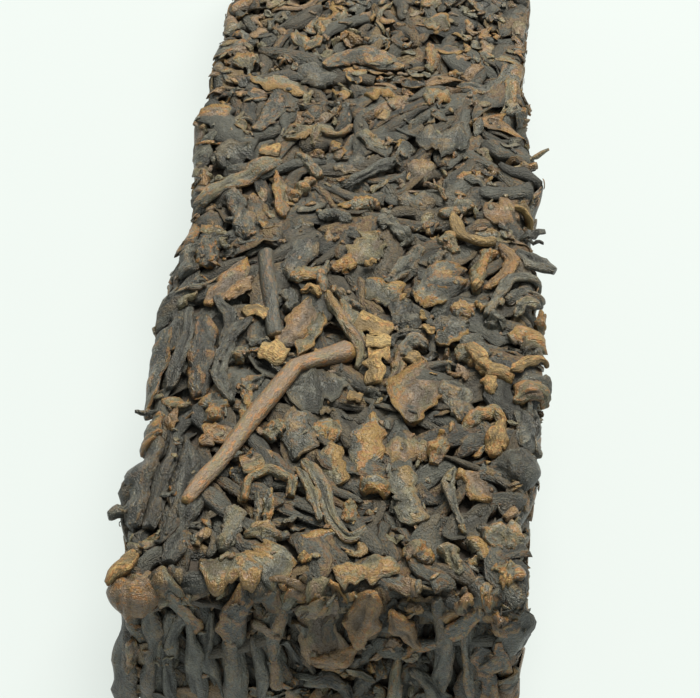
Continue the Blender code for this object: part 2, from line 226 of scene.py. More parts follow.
# %% [markdown]
# Each sheet keeps a height map, the depth of tea lying on every small cell of it. A new leaf reads the
# map under itself to know where it comes to rest, and then writes its own back into it. Smooth random
# fields, made by blending a table of random numbers, keep the core and the press wall from being flat.

# %% Height maps and smooth random fields
CELL = 0.3
BARE_HEIGHT, BARE_SWING = 0.25, 0.45
FIELD_SIZE = 64
FIELD_SHIFT = (17.3, 5.7)
FIELD = draw.uniform(-1, 1, (FIELD_SIZE, FIELD_SIZE))


def drift(x, y, size, shift=0):
    """Smooth noise from -1 to 1: a table of random numbers blended by a soft step between its rows.
    Another shift starts elsewhere in the table and so gives another field."""
    x, y = x / size + FIELD_SHIFT[0] * shift, y / size + FIELD_SHIFT[1] * shift
    column, row = np.floor(x).astype(int), np.floor(y).astype(int)
    fx, fy = x - column, y - row
    fx, fy = fx * fx * (3 - 2 * fx), fy * fy * (3 - 2 * fy)
    corner = [[FIELD[(column + a) % FIELD_SIZE, (row + b) % FIELD_SIZE] for b in (0, 1)] for a in (0, 1)]
    low = corner[0][0] * (1 - fx) + corner[1][0] * fx
    high = corner[0][1] * (1 - fx) + corner[1][1] * fx
    return low * (1 - fy) + high * fy


class Sheet:
    """A face of the bar with its height map: how wide and long it is, and how its points are placed."""

    def __init__(self, width, length, place, closed):
        self.width, self.length, self.place, self.closed = width, length, place, closed
        self.shape = (int(width / CELL) + 1, int(length / CELL) + 1)
        columns, rows = np.indices(self.shape) * CELL
        self.map = BARE_SWING * drift(columns, rows, 5.0, 1) + BARE_HEIGHT
        self.taken = np.zeros(self.shape)

    def cells(self, s, v):
        """The map's cell under each place; the wrapped sheet has no side edges, so s starts again."""
        column = ((s + self.width / 2) / CELL).astype(int)
        row = np.clip(((v + self.length / 2) / CELL).astype(int), 0, self.shape[1] - 1)
        column = column % self.shape[0] if self.closed else np.clip(column, 0, self.shape[0] - 1)
        return column, row

    def raise_to(self, s, v, h):
        """Lifts the map to h wherever h is the higher."""
        np.maximum.at(self.map, self.cells(s.ravel(), v.ravel()), h.ravel())


OVER_ENDS = 4.0
long_sheet = Sheet(ROUND, LENGTH + 2 * OVER_ENDS, wrap, True)
near_end = Sheet(WIDTH, HEIGHT, end_plane(-1.0), False)
far_end = Sheet(WIDTH, HEIGHT, end_plane(1.0), False)
print("height map of the long sheet:", long_sheet.shape)

# %% [markdown]
# A rolled leaf is a tube whose section isn't round: the rolling leaves folds that run along it, twist
# with it and open into a groove where the leaf's edge lies. A flat flake is the same tube squashed to a
# thin sheet, with a torn outline and a crumpled face. So one description covers both: for each ring
# along the leaf and each step round it, how far across and how high a point lies.
#
# The crumpling is a small table of random numbers per leaf, spread over its grid by fixed smoothing
# weights, which takes one matrix product instead of a loop.

# %% Smoothing weights
KNOT_REACH = 0.62


def weights(places, knots, closed=False):
    """Share of each knot in each place from 0 to 1: a bell over the knots, scaled to add up to one."""
    centres = np.arange(knots) / (knots if closed else knots - 1)
    gap = np.abs(places[:, None] - centres[None, :])
    if closed:
        gap = np.minimum(gap, 1 - gap)
    bell = np.exp(-(gap * knots / KNOT_REACH) ** 2)
    return bell / bell.sum(axis=1, keepdims=True)


class Grid:
    """The fixed part of a leaf's grid: rings along it, a little closer near its ends, steps round it, closer
    over its top, and the smoothing weights of both."""

    def __init__(self, rings, steps):
        self.rings, self.steps = rings, steps
        self.along = 0.5 - 0.5 * np.cos(math.pi * (0.15 + 0.7 * np.linspace(0, 1, rings)))
        self.along = (self.along - self.along[0]) / (self.along[-1] - self.along[0])
        even = np.arange(steps) / steps
        self.angle = 2 * math.pi * even + 0.5 * np.cos(2 * math.pi * even)
        self.coarse = weights(self.along, 6), weights(even, 5, closed=True)
        self.fine = weights(self.along, max(rings // 2, 6)), weights(even, max(steps // 2, 5), closed=True)
        self.across = np.sign(np.cos(self.angle)) * np.abs(np.cos(self.angle)) ** 0.8
        self.sheet_coarse = weights(self.across / 2 + 0.5, 4)
        self.sheet_fine = weights(self.across / 2 + 0.5, max(steps // 3, 4))


def crumple(along, around, strength):
    """Random numbers on the knots, spread over the grid by the weights: along x table x around."""
    table = draw.normal(0, strength, (along.shape[1], around.shape[1]))
    return along @ table @ around.T


def swell(grid, strength):
    """Random numbers along a leaf, the same all round it."""
    return crumple(grid.coarse[0], np.ones((1, 1)), strength)


def phase():
    """A random start for a wave."""
    return draw.uniform(0, 6.28)


def gap_round(angle, line):
    """Distance round the section from a line, in radians, the short way."""
    return np.abs((angle - line + math.pi) % (2 * math.pi) - math.pi)


# %% A rolled leaf
def uneven_ends(t, blunt_start, blunt_stop):
    """Rises from nothing at each end to one in the middle: a sine to a power of its own for each half."""
    rise = np.sin(math.pi * np.clip(t * 0.94 + 0.03, 0, 1))
    return rise ** np.where(t < 0.5, blunt_start, blunt_stop)


def rolled_leaf(grid, length, width, thickness, folds=3, crumpling=0.1):
    """Tube with folds: radius is one, plus slow cosines round it, less sharp folds that run along it.
    A fold is e to the minus distance round from its line, and lasts for a part of the leaf only."""
    t, angle = grid.along[:, None], grid.angle[None, :]
    twist = draw.normal(0, 1.5)
    radius = np.ones((grid.rings, grid.steps))
    for turns in (2, 3):
        radius += draw.uniform(0.04, 0.16) * np.cos(turns * angle + phase() + turns * twist * t * 0.5)
    for fold in range(draw.integers(folds, folds + 3)):
        line = draw.uniform(0.1, 3.0) + twist * (t - 0.5) + 0.35 * np.sin(draw.uniform(2, 5) * t + phase())
        lasts = np.exp(-((t - draw.uniform(0.1, 0.9)) / draw.uniform(0.25, 0.7)) ** 2)
        radius -= draw.uniform(0.15, 0.42) * lasts * np.exp(-gap_round(angle, line) / 0.2)
    radius += crumple(*grid.coarse, crumpling) + crumple(*grid.fine, 1.4 * crumpling)
    taper = uneven_ends(t, draw.uniform(0.12, 0.6), draw.uniform(0.12, 0.6))
    taper = taper * np.clip(1 + swell(grid, 0.2), 0.5, 1.6)
    across = width / 2 * taper * radius * np.cos(angle)
    up = thickness / 2 * np.sqrt(np.clip(taper, 0.05, None)) * (radius * np.sin(angle) + 0.75)
    return across, up + swell(grid, 0.22), radius - 0.9


# %% A flat flake
def leaf_flake(grid, length, width, thickness, wave=0.28, jag=0.15, ends=(0.25, 0.9)):
    """Squashed tube: both faces follow one sheet, bent along a few lines that run down the leaf. A bend is
    the square root of squared distance from its line plus a little. The outline is torn by random steps."""
    t, x = grid.along[:, None], grid.across[None, :]
    oval = uneven_ends(t, draw.uniform(*ends), draw.uniform(*ends))
    torn = crumple(grid.fine[0], np.eye(2), jag) + crumple(grid.coarse[0], np.eye(2), 1.6 * jag)
    edge = np.where(x > 0, torn[:, :1], torn[:, 1:])
    across = width / 2 * oval * np.clip(1 + edge, 0.25, 1.6) * x
    sheet = crumple(grid.coarse[0], grid.sheet_coarse, 0.7 * wave)
    for bend in range(draw.integers(2, 5)):
        line = draw.uniform(-0.8, 0.8) + 0.3 * np.sin(draw.uniform(1, 5) * t + phase())
        bent = np.sqrt((x - line) ** 2 + 0.004)
        sheet = sheet + draw.choice([-1, 1]) * draw.uniform(0.5, 1.4) * wave * bent
    sheet = sheet - sheet.mean()
    creases = np.abs(crumple(grid.fine[0], grid.sheet_fine, 1.0)) - 0.7
    curl = draw.normal(0, 0.25) * np.abs(x) ** 3 + draw.normal(0, 0.15) * (2 * t - 1) ** 4
    up = thickness / 2 * np.sin(grid.angle) + sheet + 0.36 * wave * creases + curl
    up = up + thickness / 2 + wave * 0.5
    return across, up, 0.07 + 0.35 * sheet / wave + 0.25 * creases + 0.15 * np.abs(x) ** 6


# %% [markdown]
# Laying a leaf. Its middle line starts somewhere on the sheet, and turns as it goes. Under every ring
# the height map gives what is there to rest on. A leaf is stiff, so the heights are smoothed along
# it before it takes them, and it tips sideways with the slope. Then the press wall squeezes it.

# %% Laying leaves on a sheet
PRESS_GIVE = 0.8
WALL_SWING, WALL_DRIFT = 0.35, 9.0
PLACED_SWING, PLACED_TIP, PLACED_ROOM = 0.35, 0.4, 0.7
BETWEEN_RINGS = (0.0, 0.25, 0.5, 0.75)
SAMPLE_ACROSS = np.linspace(-0.8, 0.8, 5)
STIFF_BELL = np.exp(-np.linspace(-1.6, 1.6, 9) ** 2)


def squeezed(h, wall):
    """Leaves heights alone well below the wall, and crowds them up against it near it."""
    start = wall - PRESS_GIVE
    return np.where(h < start, h, wall - PRESS_GIVE * np.exp(np.minimum(start - h, 0) / PRESS_GIVE))


def middle_line(grid, start, heading, length, bend, wiggle):
    """Path of a leaf: the heading turns by bend along it, plus one slow swing, and steps add up."""
    t = grid.along
    turn = heading + bend * (t - 0.5) + wiggle * np.sin(2 * math.pi * t + phase())
    step = np.diff(t, prepend=0) * length
    s, v = np.cumsum(step * np.cos(turn)), np.cumsum(step * np.sin(turn))
    return s - s.mean() + start[0], v - v.mean() + start[1], turn


def beside(path, across):
    """Places beside a middle line, square to its heading: line, less sine, plus cosine, times across."""
    s, v, turn = (line[:, None] for line in path)
    return s - np.sin(turn) * across, v + np.cos(turn) * across


def smoothed(line, bell, **padding):
    """Numbers averaged with their neighbours by a bell, after the line is carried on past its ends."""
    return np.convolve(np.pad(line, len(bell) // 2, **padding), bell / bell.sum(), 'valid')


def rest_on(sheet, path, half_width):
    """Height and sideways slope of what lies under a leaf: the map across it, smoothed along it."""
    below = sheet.map[sheet.cells(*beside(path, SAMPLE_ACROSS * half_width[:, None]))]
    high = 0.5 * below.max(axis=1) + 0.5 * below.mean(axis=1)
    slope = (below[:, 3:].mean(axis=1) - below[:, :2].mean(axis=1)) / (1.2 * half_width)
    smooth, slope = (smoothed(line, STIFF_BELL, mode='edge') for line in (high, slope))
    return np.maximum(smooth, high - 0.5), np.clip(slope, -0.5, 0.5)


def lay(sheet, grid, shape, path, wall=COAT, sink=0.15, top=None):
    """Lays one leaf: rings across its middle line, at the rest height plus their own, then pressed.
    With a top given, the leaf's highest line is brought to that height over the pressed face instead."""
    across, up, ridge = shape
    base, slope = rest_on(sheet, path, np.maximum(np.abs(across).max(axis=1), 0.2))
    if top is not None:
        base = COAT + top - up.max(axis=1).mean() + PLACED_SWING * (base - base.mean())
        sink, slope, wall = 0.0, PLACED_TIP * slope, COAT + top + PLACED_ROOM
    h = base[:, None] + slope[:, None] * across + up - sink
    s, v = beside(path, across)
    upper = np.stack([s, v, h])[:, :, np.sin(grid.angle) > -0.3]
    upper = np.concatenate([upper, 0.5 * (upper + np.roll(upper, 1, axis=2))[:, :, 1:]], axis=2)
    for share in BETWEEN_RINGS:
        sheet.raise_to(*((1 - share) * upper[:, :-1] + share * upper[:, 1:]))
    h = squeezed(h, wall + WALL_SWING * drift(s, v, WALL_DRIFT, 3))
    places = follow_edges(sheet.place(s, v, h))
    places[..., 2] = np.maximum(places[..., 2], 0.0)
    return places, ridge


# %% [markdown]
# Each kind of leaf becomes one mesh. All its leaves have the same grid, so the points stack into one
# array, and the faces of one leaf, shifted leaf by leaf, give the faces of all. What a material needs to
# know goes along as attributes: the leaf's tone and how rusty it is, where its ridges are, and a place
# in the leaf's own frame for grain that runs along it. A map named OFBake gives every leaf its own cell.

# %% From leaf arrays to a mesh
class Kind:
    """Leaves of one kind on one grid, collected until they are made into a mesh."""

    def __init__(self, name, grid):
        self.name, self.grid = name, grid
        self.places, self.ridges, self.looks = [], [], []

    def add(self, laid, tone, rust):
        """Keeps a laid leaf with its look."""
        self.places.append(laid[0])
        self.ridges.append(laid[1])
        self.looks.append((tone, rust))


def leaf_faces(grid):
    """Faces of one leaf: a quad for each cell of its grid, closed round, and a fan at each end."""
    rings, steps = grid.rings, grid.steps
    ring, step = np.indices((rings - 1, steps))
    after = (step + 1) % steps
    quads = np.stack([ring * steps + step, ring * steps + after, (ring + 1) * steps + after,
                      (ring + 1) * steps + step], axis=-1).reshape(-1, 4)
    step = np.arange(steps)
    after = (step + 1) % steps
    first, last, base = rings * steps, rings * steps + 1, (rings - 1) * steps
    start = np.stack([np.full(steps, first), after, step], axis=-1)
    stop = np.stack([np.full(steps, last), base + step, base + after], axis=-1)
    return quads, np.concatenate([start, stop])


def leaf_cells(grid):
    """Flat coordinates of every face corner from 0 to 1: steps round go across, rings go up."""
    rings, steps = grid.rings, grid.steps
    ring, step = np.indices((rings - 1, steps)).reshape(2, -1)
    x0, x1 = step / steps, (step + 1) / steps
    y0, y1 = (ring + 1) / (rings + 1), (ring + 2) / (rings + 1)
    quads = np.stack([x0, y0, x1, y0, x1, y1, x0, y1], axis=-1).reshape(-1, 4, 2)
    step = np.arange(steps)
    x0, x1, mid = step / steps, (step + 1) / steps, (step + 0.5) / steps
    low, high = np.full(steps, 1 / (rings + 1)), np.full(steps, rings / (rings + 1))
    start = np.stack([mid, np.zeros(steps), x1, low, x0, low], axis=-1).reshape(-1, 3, 2)
    stop = np.stack([mid, np.ones(steps), x0, high, x1, high], axis=-1).reshape(-1, 3, 2)
    return quads, np.concatenate([start, stop])


def fill_mesh(name, places, quads, triangles):
    """A mesh from points in mm and two face lists, written as whole arrays."""
    mesh = bpy.data.meshes.new(name)
    corners = np.concatenate([quads.ravel(), triangles.ravel()]).astype(np.int32)
    sizes = np.concatenate([np.full(len(quads), 4), np.full(len(triangles), 3)])
    mesh.vertices.add(len(places))
    mesh.vertices.foreach_set("co", ((places + BLOCK_MIDDLE) * MM).ravel())
    mesh.loops.add(len(corners))
    mesh.loops.foreach_set("vertex_index", corners)
    mesh.polygons.add(len(sizes))
    mesh.polygons.foreach_set("loop_start", np.concatenate([[0], np.cumsum(sizes)[:-1]]).astype(np.int32))
    mesh.update(calc_edges=True)
    mesh.validate()
    mesh.shade_smooth()
    return mesh


def as_piece(name, mesh, material):
    """Puts a mesh in the scene as a piece of the bar, riding on its one body."""
    mesh.materials.append(material)
    piece = add_object(name, mesh)
    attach(piece, "root")
    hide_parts("tea_brick")


def with_poles(values):
    """All points of each leaf in one row, ring by ring, then the middles of its first and last rings."""
    poles = values[:, [0, -1]].mean(axis=2)
    return np.concatenate([values.reshape(len(values), -1, *values.shape[3:]), poles], axis=1)


LEAF_SHIFT = 7.31
CELL_MARGIN = 0.04


def make_kind(kind, material):
    """One mesh of all leaves of a kind, with its attributes and its OFBake map."""
    grid, places = kind.grid, np.stack(kind.places)
    points = with_poles(places)
    count, each = points.shape[:2]
    shift = (np.arange(count) * each)[:, None, None]
    quads, fans = ((faces + shift).reshape(-1, faces.shape[1]) for faces in leaf_faces(grid))
    mesh = fill_mesh(kind.name, points.reshape(-1, 3), quads, fans)

    ridge = with_poles(np.stack(kind.ridges)).ravel()
    tone, rust = (look.repeat(each) for look in np.array(kind.looks).T)
    for name, values in (("ridge", ridge), ("tone", tone), ("rust", rust)):
        mesh.attributes.new(name, 'FLOAT', 'POINT').data.foreach_set("value", values.astype(np.float32))
    ridge_line = places[:, :, np.argmax(np.sin(grid.angle))]
    gone = np.cumsum(np.linalg.norm(np.diff(ridge_line, axis=1, prepend=ridge_line[:, :1]), axis=2), axis=1)
    round_it = np.linalg.norm(np.diff(places, axis=2, append=places[:, :, :1]), axis=3).sum(axis=2) / 4
    grain = np.zeros(places.shape)
    grain[..., 0] = gone[:, :, None]
    grain[..., 1] = np.cos(grid.angle) * round_it[:, :, None]
    grain[..., 2] = np.sin(grid.angle) * round_it[:, :, None]
    grain = with_poles(grain) + np.arange(count)[:, None, None] * LEAF_SHIFT
    grain_data = mesh.attributes.new("grain", 'FLOAT_VECTOR', 'POINT').data
    grain_data.foreach_set("vector", grain.astype(np.float32).ravel())

    across = math.ceil(math.sqrt(count))
    cell = np.stack([np.arange(count) % across, np.arange(count) // across], axis=-1)[:, None, None]
    flat = [(cell + CELL_MARGIN + (1 - 2 * CELL_MARGIN) * part) / across for part in leaf_cells(grid)]
    flat = np.concatenate([part.ravel() for part in flat]).astype(np.float32)
    mesh.uv_layers.new(name="OFBake").data.foreach_set("uv", flat)
    as_piece(kind.name, mesh, material)
    print(f"{kind.name}: {count} leaves, {sum(len(p.vertices) - 2 for p in mesh.polygons)} triangles")


# %% [markdown]
# Stems are simpler. A stem is a nearly round tube with fine ribs and square cut ends, and a long one gets
# thinner from a third of its length on. Some leaves are rolled up so tightly that they are balls.

# %% Stems and balled leaves
LONG_STEM = 20.0


def stem(grid, length, width, thickness):
    """Tube with ribs: radius is one plus two small cosines of 3 and 7 turns, ends cut nearly square."""
    t, angle = grid.along[:, None], grid.angle[None, :]
    radius = 1 + 0.05 * np.cos(3 * angle + 2.0 * t + draw.uniform(0, 6))
    radius = radius + 0.03 * np.cos(7 * angle + draw.uniform(0, 6)) + crumple(*grid.coarse, 0.04)
    taper = np.clip(np.sin(math.pi * np.clip(t * 0.98 + 0.01, 0, 1)) * 14, 0, 1) ** 0.5
    thinned = 0.38 * np.clip(t / 0.65 - 0.54, 0, 1) * (length > LONG_STEM)
    taper = taper * (1 - thinned) * (1 + swell(grid, 0.05))
    across = width / 2 * taper * radius * np.cos(angle)
    up = thickness / 2 * (taper * radius * np.sin(angle) + 0.7)
    return across, up, radius - 1 + 0.6 * (np.abs(2 * t - 1) > 0.97)


def balled_leaf(grid, length, width, thickness):
    """Crumpled ball: the radius at t is that of a circle, half the root of one minus (2t - 1) squared."""
    t, angle = grid.along[:, None], grid.angle[None, :]
    radius = 1 + crumple(*grid.coarse, 0.09) + crumple(*grid.fine, 0.06)
    circle = np.sqrt(np.clip(1 - (2 * t - 1) ** 2, 0.01, 1))
    for fold in range(3):
        radius -= 0.16 * np.exp(-gap_round(angle, phase() + 1.5 * t) / 0.16)
    return (width / 2 * circle * radius * np.cos(angle), thickness / 2 * circle * radius * np.sin(angle),
            0.6 * (radius - 0.97))


# %% [markdown]
# The leaves that the photograph shows clearly are placed first among the upper ones, each by the pixels
# its middle line passes through. Cells that they cover are marked as taken, and the leaves that fill up
# the rest keep off them.

# %% Paths taken from the photograph
def photo_path(places, grid, soft=5):
    """Middle line through places: even steps by length between them, rounded by a short average."""
    gone = np.concatenate([[0], np.cumsum(np.hypot(*np.diff(places, axis=0).T))])
    s, v = (np.interp(grid.along * gone[-1], gone, places[:, axis]) for axis in (0, 1))
    bell = np.hanning(soft + 2)[1:-1]
    s, v = (smoothed(line, bell, mode='reflect', reflect_type='odd') for line in (s, v))
    return (s, v, np.arctan2(np.gradient(v), np.gradient(s))), gone[-1]


def mark_taken(sheet, path, half_width):
    """Marks the cells under a placed leaf, so that the filling leaves keep off them."""
    sheet.taken[sheet.cells(*beside(path, np.linspace(-0.75, 0.75, 9) * half_width))] = 1.0


def place_seen(rows, sheet, kind, shape_of, on_face, soft=5, **options):
    """Lays the pieces of a table where the photograph shows them, each with its own look."""
    for width, thickness, top, tone, rust, *pixels in rows:
        path, length = photo_path(on_face(np.reshape(pixels, (-1, 2))), kind.grid, soft)
        shape = shape_of(kind.grid, length, width, thickness, **options)
        kind.add(lay(sheet, kind.grid, shape, path, top=top), tone, rust)
        mark_taken(sheet, path, width / 2)
    print(len(rows), "pieces placed by the photograph in", kind.name)


# %% [markdown]
# Filling up. Tea falls into hollows, so each leaf is tried in a dozen places and stays in the lowest.
# Neighbours tend to lie the same way, since the press drags them together, so headings follow a slow
# random field with some leaves turned at random.

# %% The lowest of a dozen places
TRIES = 12
ALONG_LEAF, ASIDE_LEAF = np.linspace(-0.45, 0.45, 7)[:, None], np.array([-0.4, 0.0, 0.4])
HEADING_DRIFT, TURNED_SHARE = 13.0, 0.15
TAKEN_COST, OVER_COST = 8.0, 3.0


def lowest_place(sheet, area, length, width, swing=2.0, loose=0.45):
    """Start and heading with the least mean height under a leaf, out of a dozen random ones."""
    (s0, s1), (v0, v1) = area
    s, v = draw.uniform(s0, s1, TRIES), draw.uniform(v0, v1, TRIES)
    heading = swing * drift(s, v, HEADING_DRIFT, 7) + draw.normal(0, loose, TRIES) + math.pi / 2
    turned = draw.uniform(size=TRIES) < TURNED_SHARE
    heading = np.where(turned, draw.uniform(0, math.pi, TRIES), heading)
    run, aside = ALONG_LEAF * length, ASIDE_LEAF * width
    cos, sin = np.cos(heading)[:, None, None], np.sin(heading)[:, None, None]
    at_s, at_v = s[:, None, None] + run * cos - aside * sin, v[:, None, None] + run * sin + aside * cos
    cells = sheet.cells(at_s, at_v)
    cost = sheet.map[cells].mean(axis=(1, 2)) + TAKEN_COST * sheet.taken[cells].mean(axis=(1, 2))
    over = np.abs(at_v).max(axis=(1, 2)) - sheet.length / 2
    if not sheet.closed:
        over = np.maximum(over, np.abs(at_s).max(axis=(1, 2)) - sheet.width / 2)
    best = np.argmin(cost + OVER_COST * np.maximum(over, 0))
    return (s[best], v[best]), heading[best]


# Leaves laid on the left shoulder have their tone and rust cut to this share: painted shade, since the
# shoulder slopes away from the light.
SHOULDER_SHADE_DIM = 0.2


def on_shoulder(s, v):
    """Tells whether a place of the long sheet is on the left shoulder, where leaves are painted darker as
    shade.
    """
    return (-TURNS[0] < s) & (s < -SHOULDER_FROM) & (np.abs(v - SHOULDER_PLACE) < 0.6 * SHOULDER_SPREAD)


def roll_size():
    """Length, width and thickness of a rolled leaf: most about 2 mm wide, a few nearly 4."""
    width = float(np.clip(draw.lognormal(0.68, 0.32), 1.0, 3.8))
    return draw.uniform(5.5, 13.5), width, min(width * draw.uniform(0.42, 0.75), 1.8)


def flake_size():
    """Length, width and thickness of a flat flake."""
    length = draw.uniform(5.0, 11.5)
    return length, float(np.clip(length * draw.uniform(0.28, 0.55), 2.0, 4.6)), draw.uniform(0.3, 0.6)


MOST_LEAVES, LEAVES_A_LOOK = 900, 8
COLUMNS_READ = 60
INSIDE = 0.01


def fill(sheet, area, level, rolls, flakes, flake_share=0.3, swing=2.0):
    """Lays leaves in an area of a sheet until its mean height, looked up now and then, reaches the level."""
    (s0, s1), (v0, v1) = area
    columns, _ = sheet.cells(np.linspace(s0, s1 - INSIDE, COLUMNS_READ), np.full(COLUMNS_READ, v0))
    _, (first, last) = sheet.cells(np.array([s0, s1 - INSIDE]), np.array([v0, v1 - INSIDE]))
    laid = 0
    while laid < MOST_LEAVES:
        if laid % LEAVES_A_LOOK == 0 and sheet.map[columns][:, first:last].mean() > level:
            break
        flat = draw.uniform() < flake_share
        length, width, thickness = flake_size() if flat else roll_size()
        kind = flakes if flat else rolls
        start, heading = lowest_place(sheet, area, length, width, swing)
        shape = (leaf_flake if flat else rolled_leaf)(kind.grid, length, width, thickness)
        path = middle_line(kind.grid, start, heading, length, draw.normal(0, 0.7), draw.normal(0, 0.35))
        # Painted shade: leaves on the left shoulder are made darker.
        shade_dim = SHOULDER_SHADE_DIM if sheet.closed and on_shoulder(*start) else 1.0
        kind.add(lay(sheet, kind.grid, shape, path), shade_dim * draw.beta(0.7, 0.7), shade_dim * draw.beta(0.9, 1.1))
        laid += 1
    return laid


# %% The grids, and the lower leaves
# Mean heights of the tea, in mm over the core, up to which each area is filled.
LOWER_LEVEL, BASE_LEVEL, LOWER_END_LEVEL = 1.05, 1.9, 0.85
UNDER_LEVEL, UNDER_LEVEL_OFF_SHOULDER = 1.2, 1.5
TOP_LEVEL, TOP_LEVEL_OFF_SHOULDER = 1.62, 1.92
SIDE_LEVEL, END_LEVEL = 1.72, 1.7

FINE_ROLL, MID_ROLL, LOW_ROLL = Grid(34, 18), Grid(18, 11), Grid(8, 8)
FINE_FLAKE, MID_FLAKE, LOW_FLAKE = Grid(26, 26), Grid(15, 16), Grid(8, 10)

TOP = (-HALF_WIDTH, HALF_WIDTH)
OFF_SHOULDER = (-SHOULDER_FROM, HALF_WIDTH)
RIGHT = (TURNS[0], TURNS[3])
LEFT = (-TURNS[3], -TURNS[0])
BASE = (TURNS[2], ROUND - TURNS[2])
PAST_ENDS = 2.0
ALONG = (-LENGTH / 2 - PAST_ENDS, LENGTH / 2 + PAST_ENDS)
END_MARGIN = 1.5
END = ((END_MARGIN - WIDTH / 2, WIDTH / 2 - END_MARGIN), (END_MARGIN - HEIGHT / 2, HEIGHT / 2 - END_MARGIN))

low_rolls, low_flakes = Kind("lower_rolled_leaves", LOW_ROLL), Kind("lower_flat_leaves", LOW_FLAKE)
for area in (TOP, RIGHT, LEFT):
    print("lower leaves", fill(long_sheet, (area, ALONG), LOWER_LEVEL, low_rolls, low_flakes))
base_rolls, base_flakes = Kind("base_rolled_leaves", LOW_ROLL), Kind("base_flat_leaves", LOW_FLAKE)
print("base leaves", fill(long_sheet, (BASE, ALONG), BASE_LEVEL, base_rolls, base_flakes, 0.4))
for sheet in (near_end, far_end):
    print("lower end leaves", fill(sheet, END, LOWER_END_LEVEL, low_rolls, low_flakes, 0.2, 0.5))

# %% The first of the upper leaves
top_rolls, top_flakes = Kind("top_rolled_leaves", FINE_ROLL), Kind("top_flat_leaves", FINE_FLAKE)
stems, chips = Kind("stems", Grid(30, 16)), Kind("buds_and_chips", Grid(16, 16))
for area, level in ((TOP, UNDER_LEVEL), (OFF_SHOULDER, UNDER_LEVEL_OFF_SHOULDER)):
    print("top leaves under the placed ones", fill(long_sheet, (area, ALONG), level, low_rolls, low_flakes))

# %% [markdown]
# Pieces seen in the photograph. Each row gives the width, the thickness, how far the piece's top lies
# over the pressed face, its tone from dark slate (0) over olive (0.5) to brown (1), and how rusty it is.
# Then come its pixels from end to end, each as a column and a row. Widths and thicknesses are in mm.

# %% Flat leaves placed by the photograph
FLAKES_SEEN = (
    (6.4, 0.7, 0.2, 0.2, 0.1, 285, 386, 314, 386, 347, 381),
    (4, 0.8, -0.3, 0.25, 0.3, 296, 405, 300, 430, 296, 452),
    (4.2, 0.7, -0.2, 0.3, 0.2, 318, 398, 336, 400, 346, 402),
    (6, 0.8, 0.1, 0.75, 0.6, 424, 360, 418, 385, 410, 420),
    (4.6, 0.7, -0.2, 0.7, 0.3, 386, 445, 405, 446, 428, 443),
    (4.6, 0.8, 0, 0.45, 0.8, 366, 278, 385, 288, 400, 300),
    (3.6, 0.7, -0.2, 0.2, 0.2, 390, 300, 402, 304, 412, 300),
    (5, 0.6, 0.1, 0.2, 0.5, 436, 262, 450, 276, 464, 284),
    (4.4, 0.6, 0, 0.3, 1, 414, 286, 432, 292, 446, 300),
    (3.8, 0.9, 0.1, 0.25, 0.6, 450, 306, 463, 306, 477, 303),
    (4.6, 0.8, 0.3, 0.6, 0.2, 354, 262, 366, 248, 380, 236),
    (2.6, 0.6, 0.5, 0.95, 1, 332, 268, 344, 262, 357, 266),
    (3.4, 0.7, 0.3, 0.85, 0.4, 280, 347, 295, 326, 310, 299),
    (2.4, 0.7, 0.4, 0.6, 0.8, 298, 354, 312, 338, 322, 312),
    (4.2, 0.6, 0, 0.15, 0.2, 290, 276, 298, 256, 312, 238),
    (3, 0.8, 0.2, 0.5, 0.8, 290, 276, 304, 274, 322, 266),
    (2.6, 0.7, 0.1, 0.15, 0.1, 290, 286, 291, 296, 289, 308),
    (3.2, 0.6, 0.2, 0.8, 0.8, 206, 303, 226, 280, 246, 256),
    (1.8, 0.5, 0.3, 0.95, 0.4, 224, 298, 240, 288, 253, 276),
    (3.4, 0.8, 0.1, 0.9, 0.7, 200, 442, 215, 434, 232, 428),
    (3.6, 0.7, -0.1, 0.5, 1, 312, 428, 326, 424, 342, 430),
    (4, 0.8, -0.1, 0.4, 0.7, 374, 408, 368, 436, 358, 470),
    (3.2, 0.7, -0.2, 0.6, 0.5, 330, 440, 332, 462, 338, 480),
    (4.4, 0.7, -0.1, 0.5, 0.3, 398, 468, 410, 492, 418, 520),
    (3.6, 0.8, 0.1, 0.8, 0.6, 460, 468, 474, 482, 492, 500),
    (4.6, 0.7, 0, 0.2, 0.2, 398, 196, 416, 196, 436, 198),
    (5.6, 0.7, 0.1, 0.2, 0.2, 416, 136, 440, 138, 468, 142),
    (6, 1.2, 0.1, 0.9, 0.3, 484, 214, 500, 210, 516, 206),
    (4.2, 0.8, 0.1, 0.75, 0.3, 406, 164, 420, 166, 434, 166),
    (4, 0.8, 0.1, 0.6, 0.4, 284, 136, 300, 130, 316, 122),
    (4, 0.9, 0.2, 0.15, 0.1, 218, 158, 234, 150, 252, 146),
    (4.4, 0.7, 0.2, 0.65, 0.9, 364, 92, 380, 90, 396, 92),
    (4.2, 0.8, 0.2, 0.6, 0.8, 424, 96, 438, 94, 452, 96),
    (4.6, 0.7, 0.2, 0.55, 0.9, 292, 40, 306, 38, 322, 40),
    (4.2, 0.8, 0.1, 0.6, 0.7, 424, 24, 438, 22, 450, 26),
    (3.6, 0.7, 0.1, 0.55, 1, 232, 60, 244, 58, 258, 56),
    (4.6, 0.7, 0.1, 0.2, 0.1, 300, 66, 314, 72, 322, 84),
    (3, 1, 0.2, 0.6, 0.9, 536, 314, 544, 312, 552, 308),
    (3.2, 0.7, 0.3, 0.65, 0.9, 510, 338, 524, 334, 540, 342),
    (2.6, 0.7, 0.2, 0.2, 0.1, 430, 326, 450, 324, 470, 322),
    (2.6, 0.7, 0.2, 0.35, 0.7, 436, 338, 450, 334, 466, 328),
    (5, 0.8, 0, 0.45, 0.5, 258, 572, 272, 560, 286, 544),
    (3.6, 0.5, 0.1, 0.55, 0.5, 200, 562, 230, 564, 262, 572),
    (3.4, 0.5, 0.1, 0.6, 0.5, 334, 572, 362, 564, 400, 566),
)

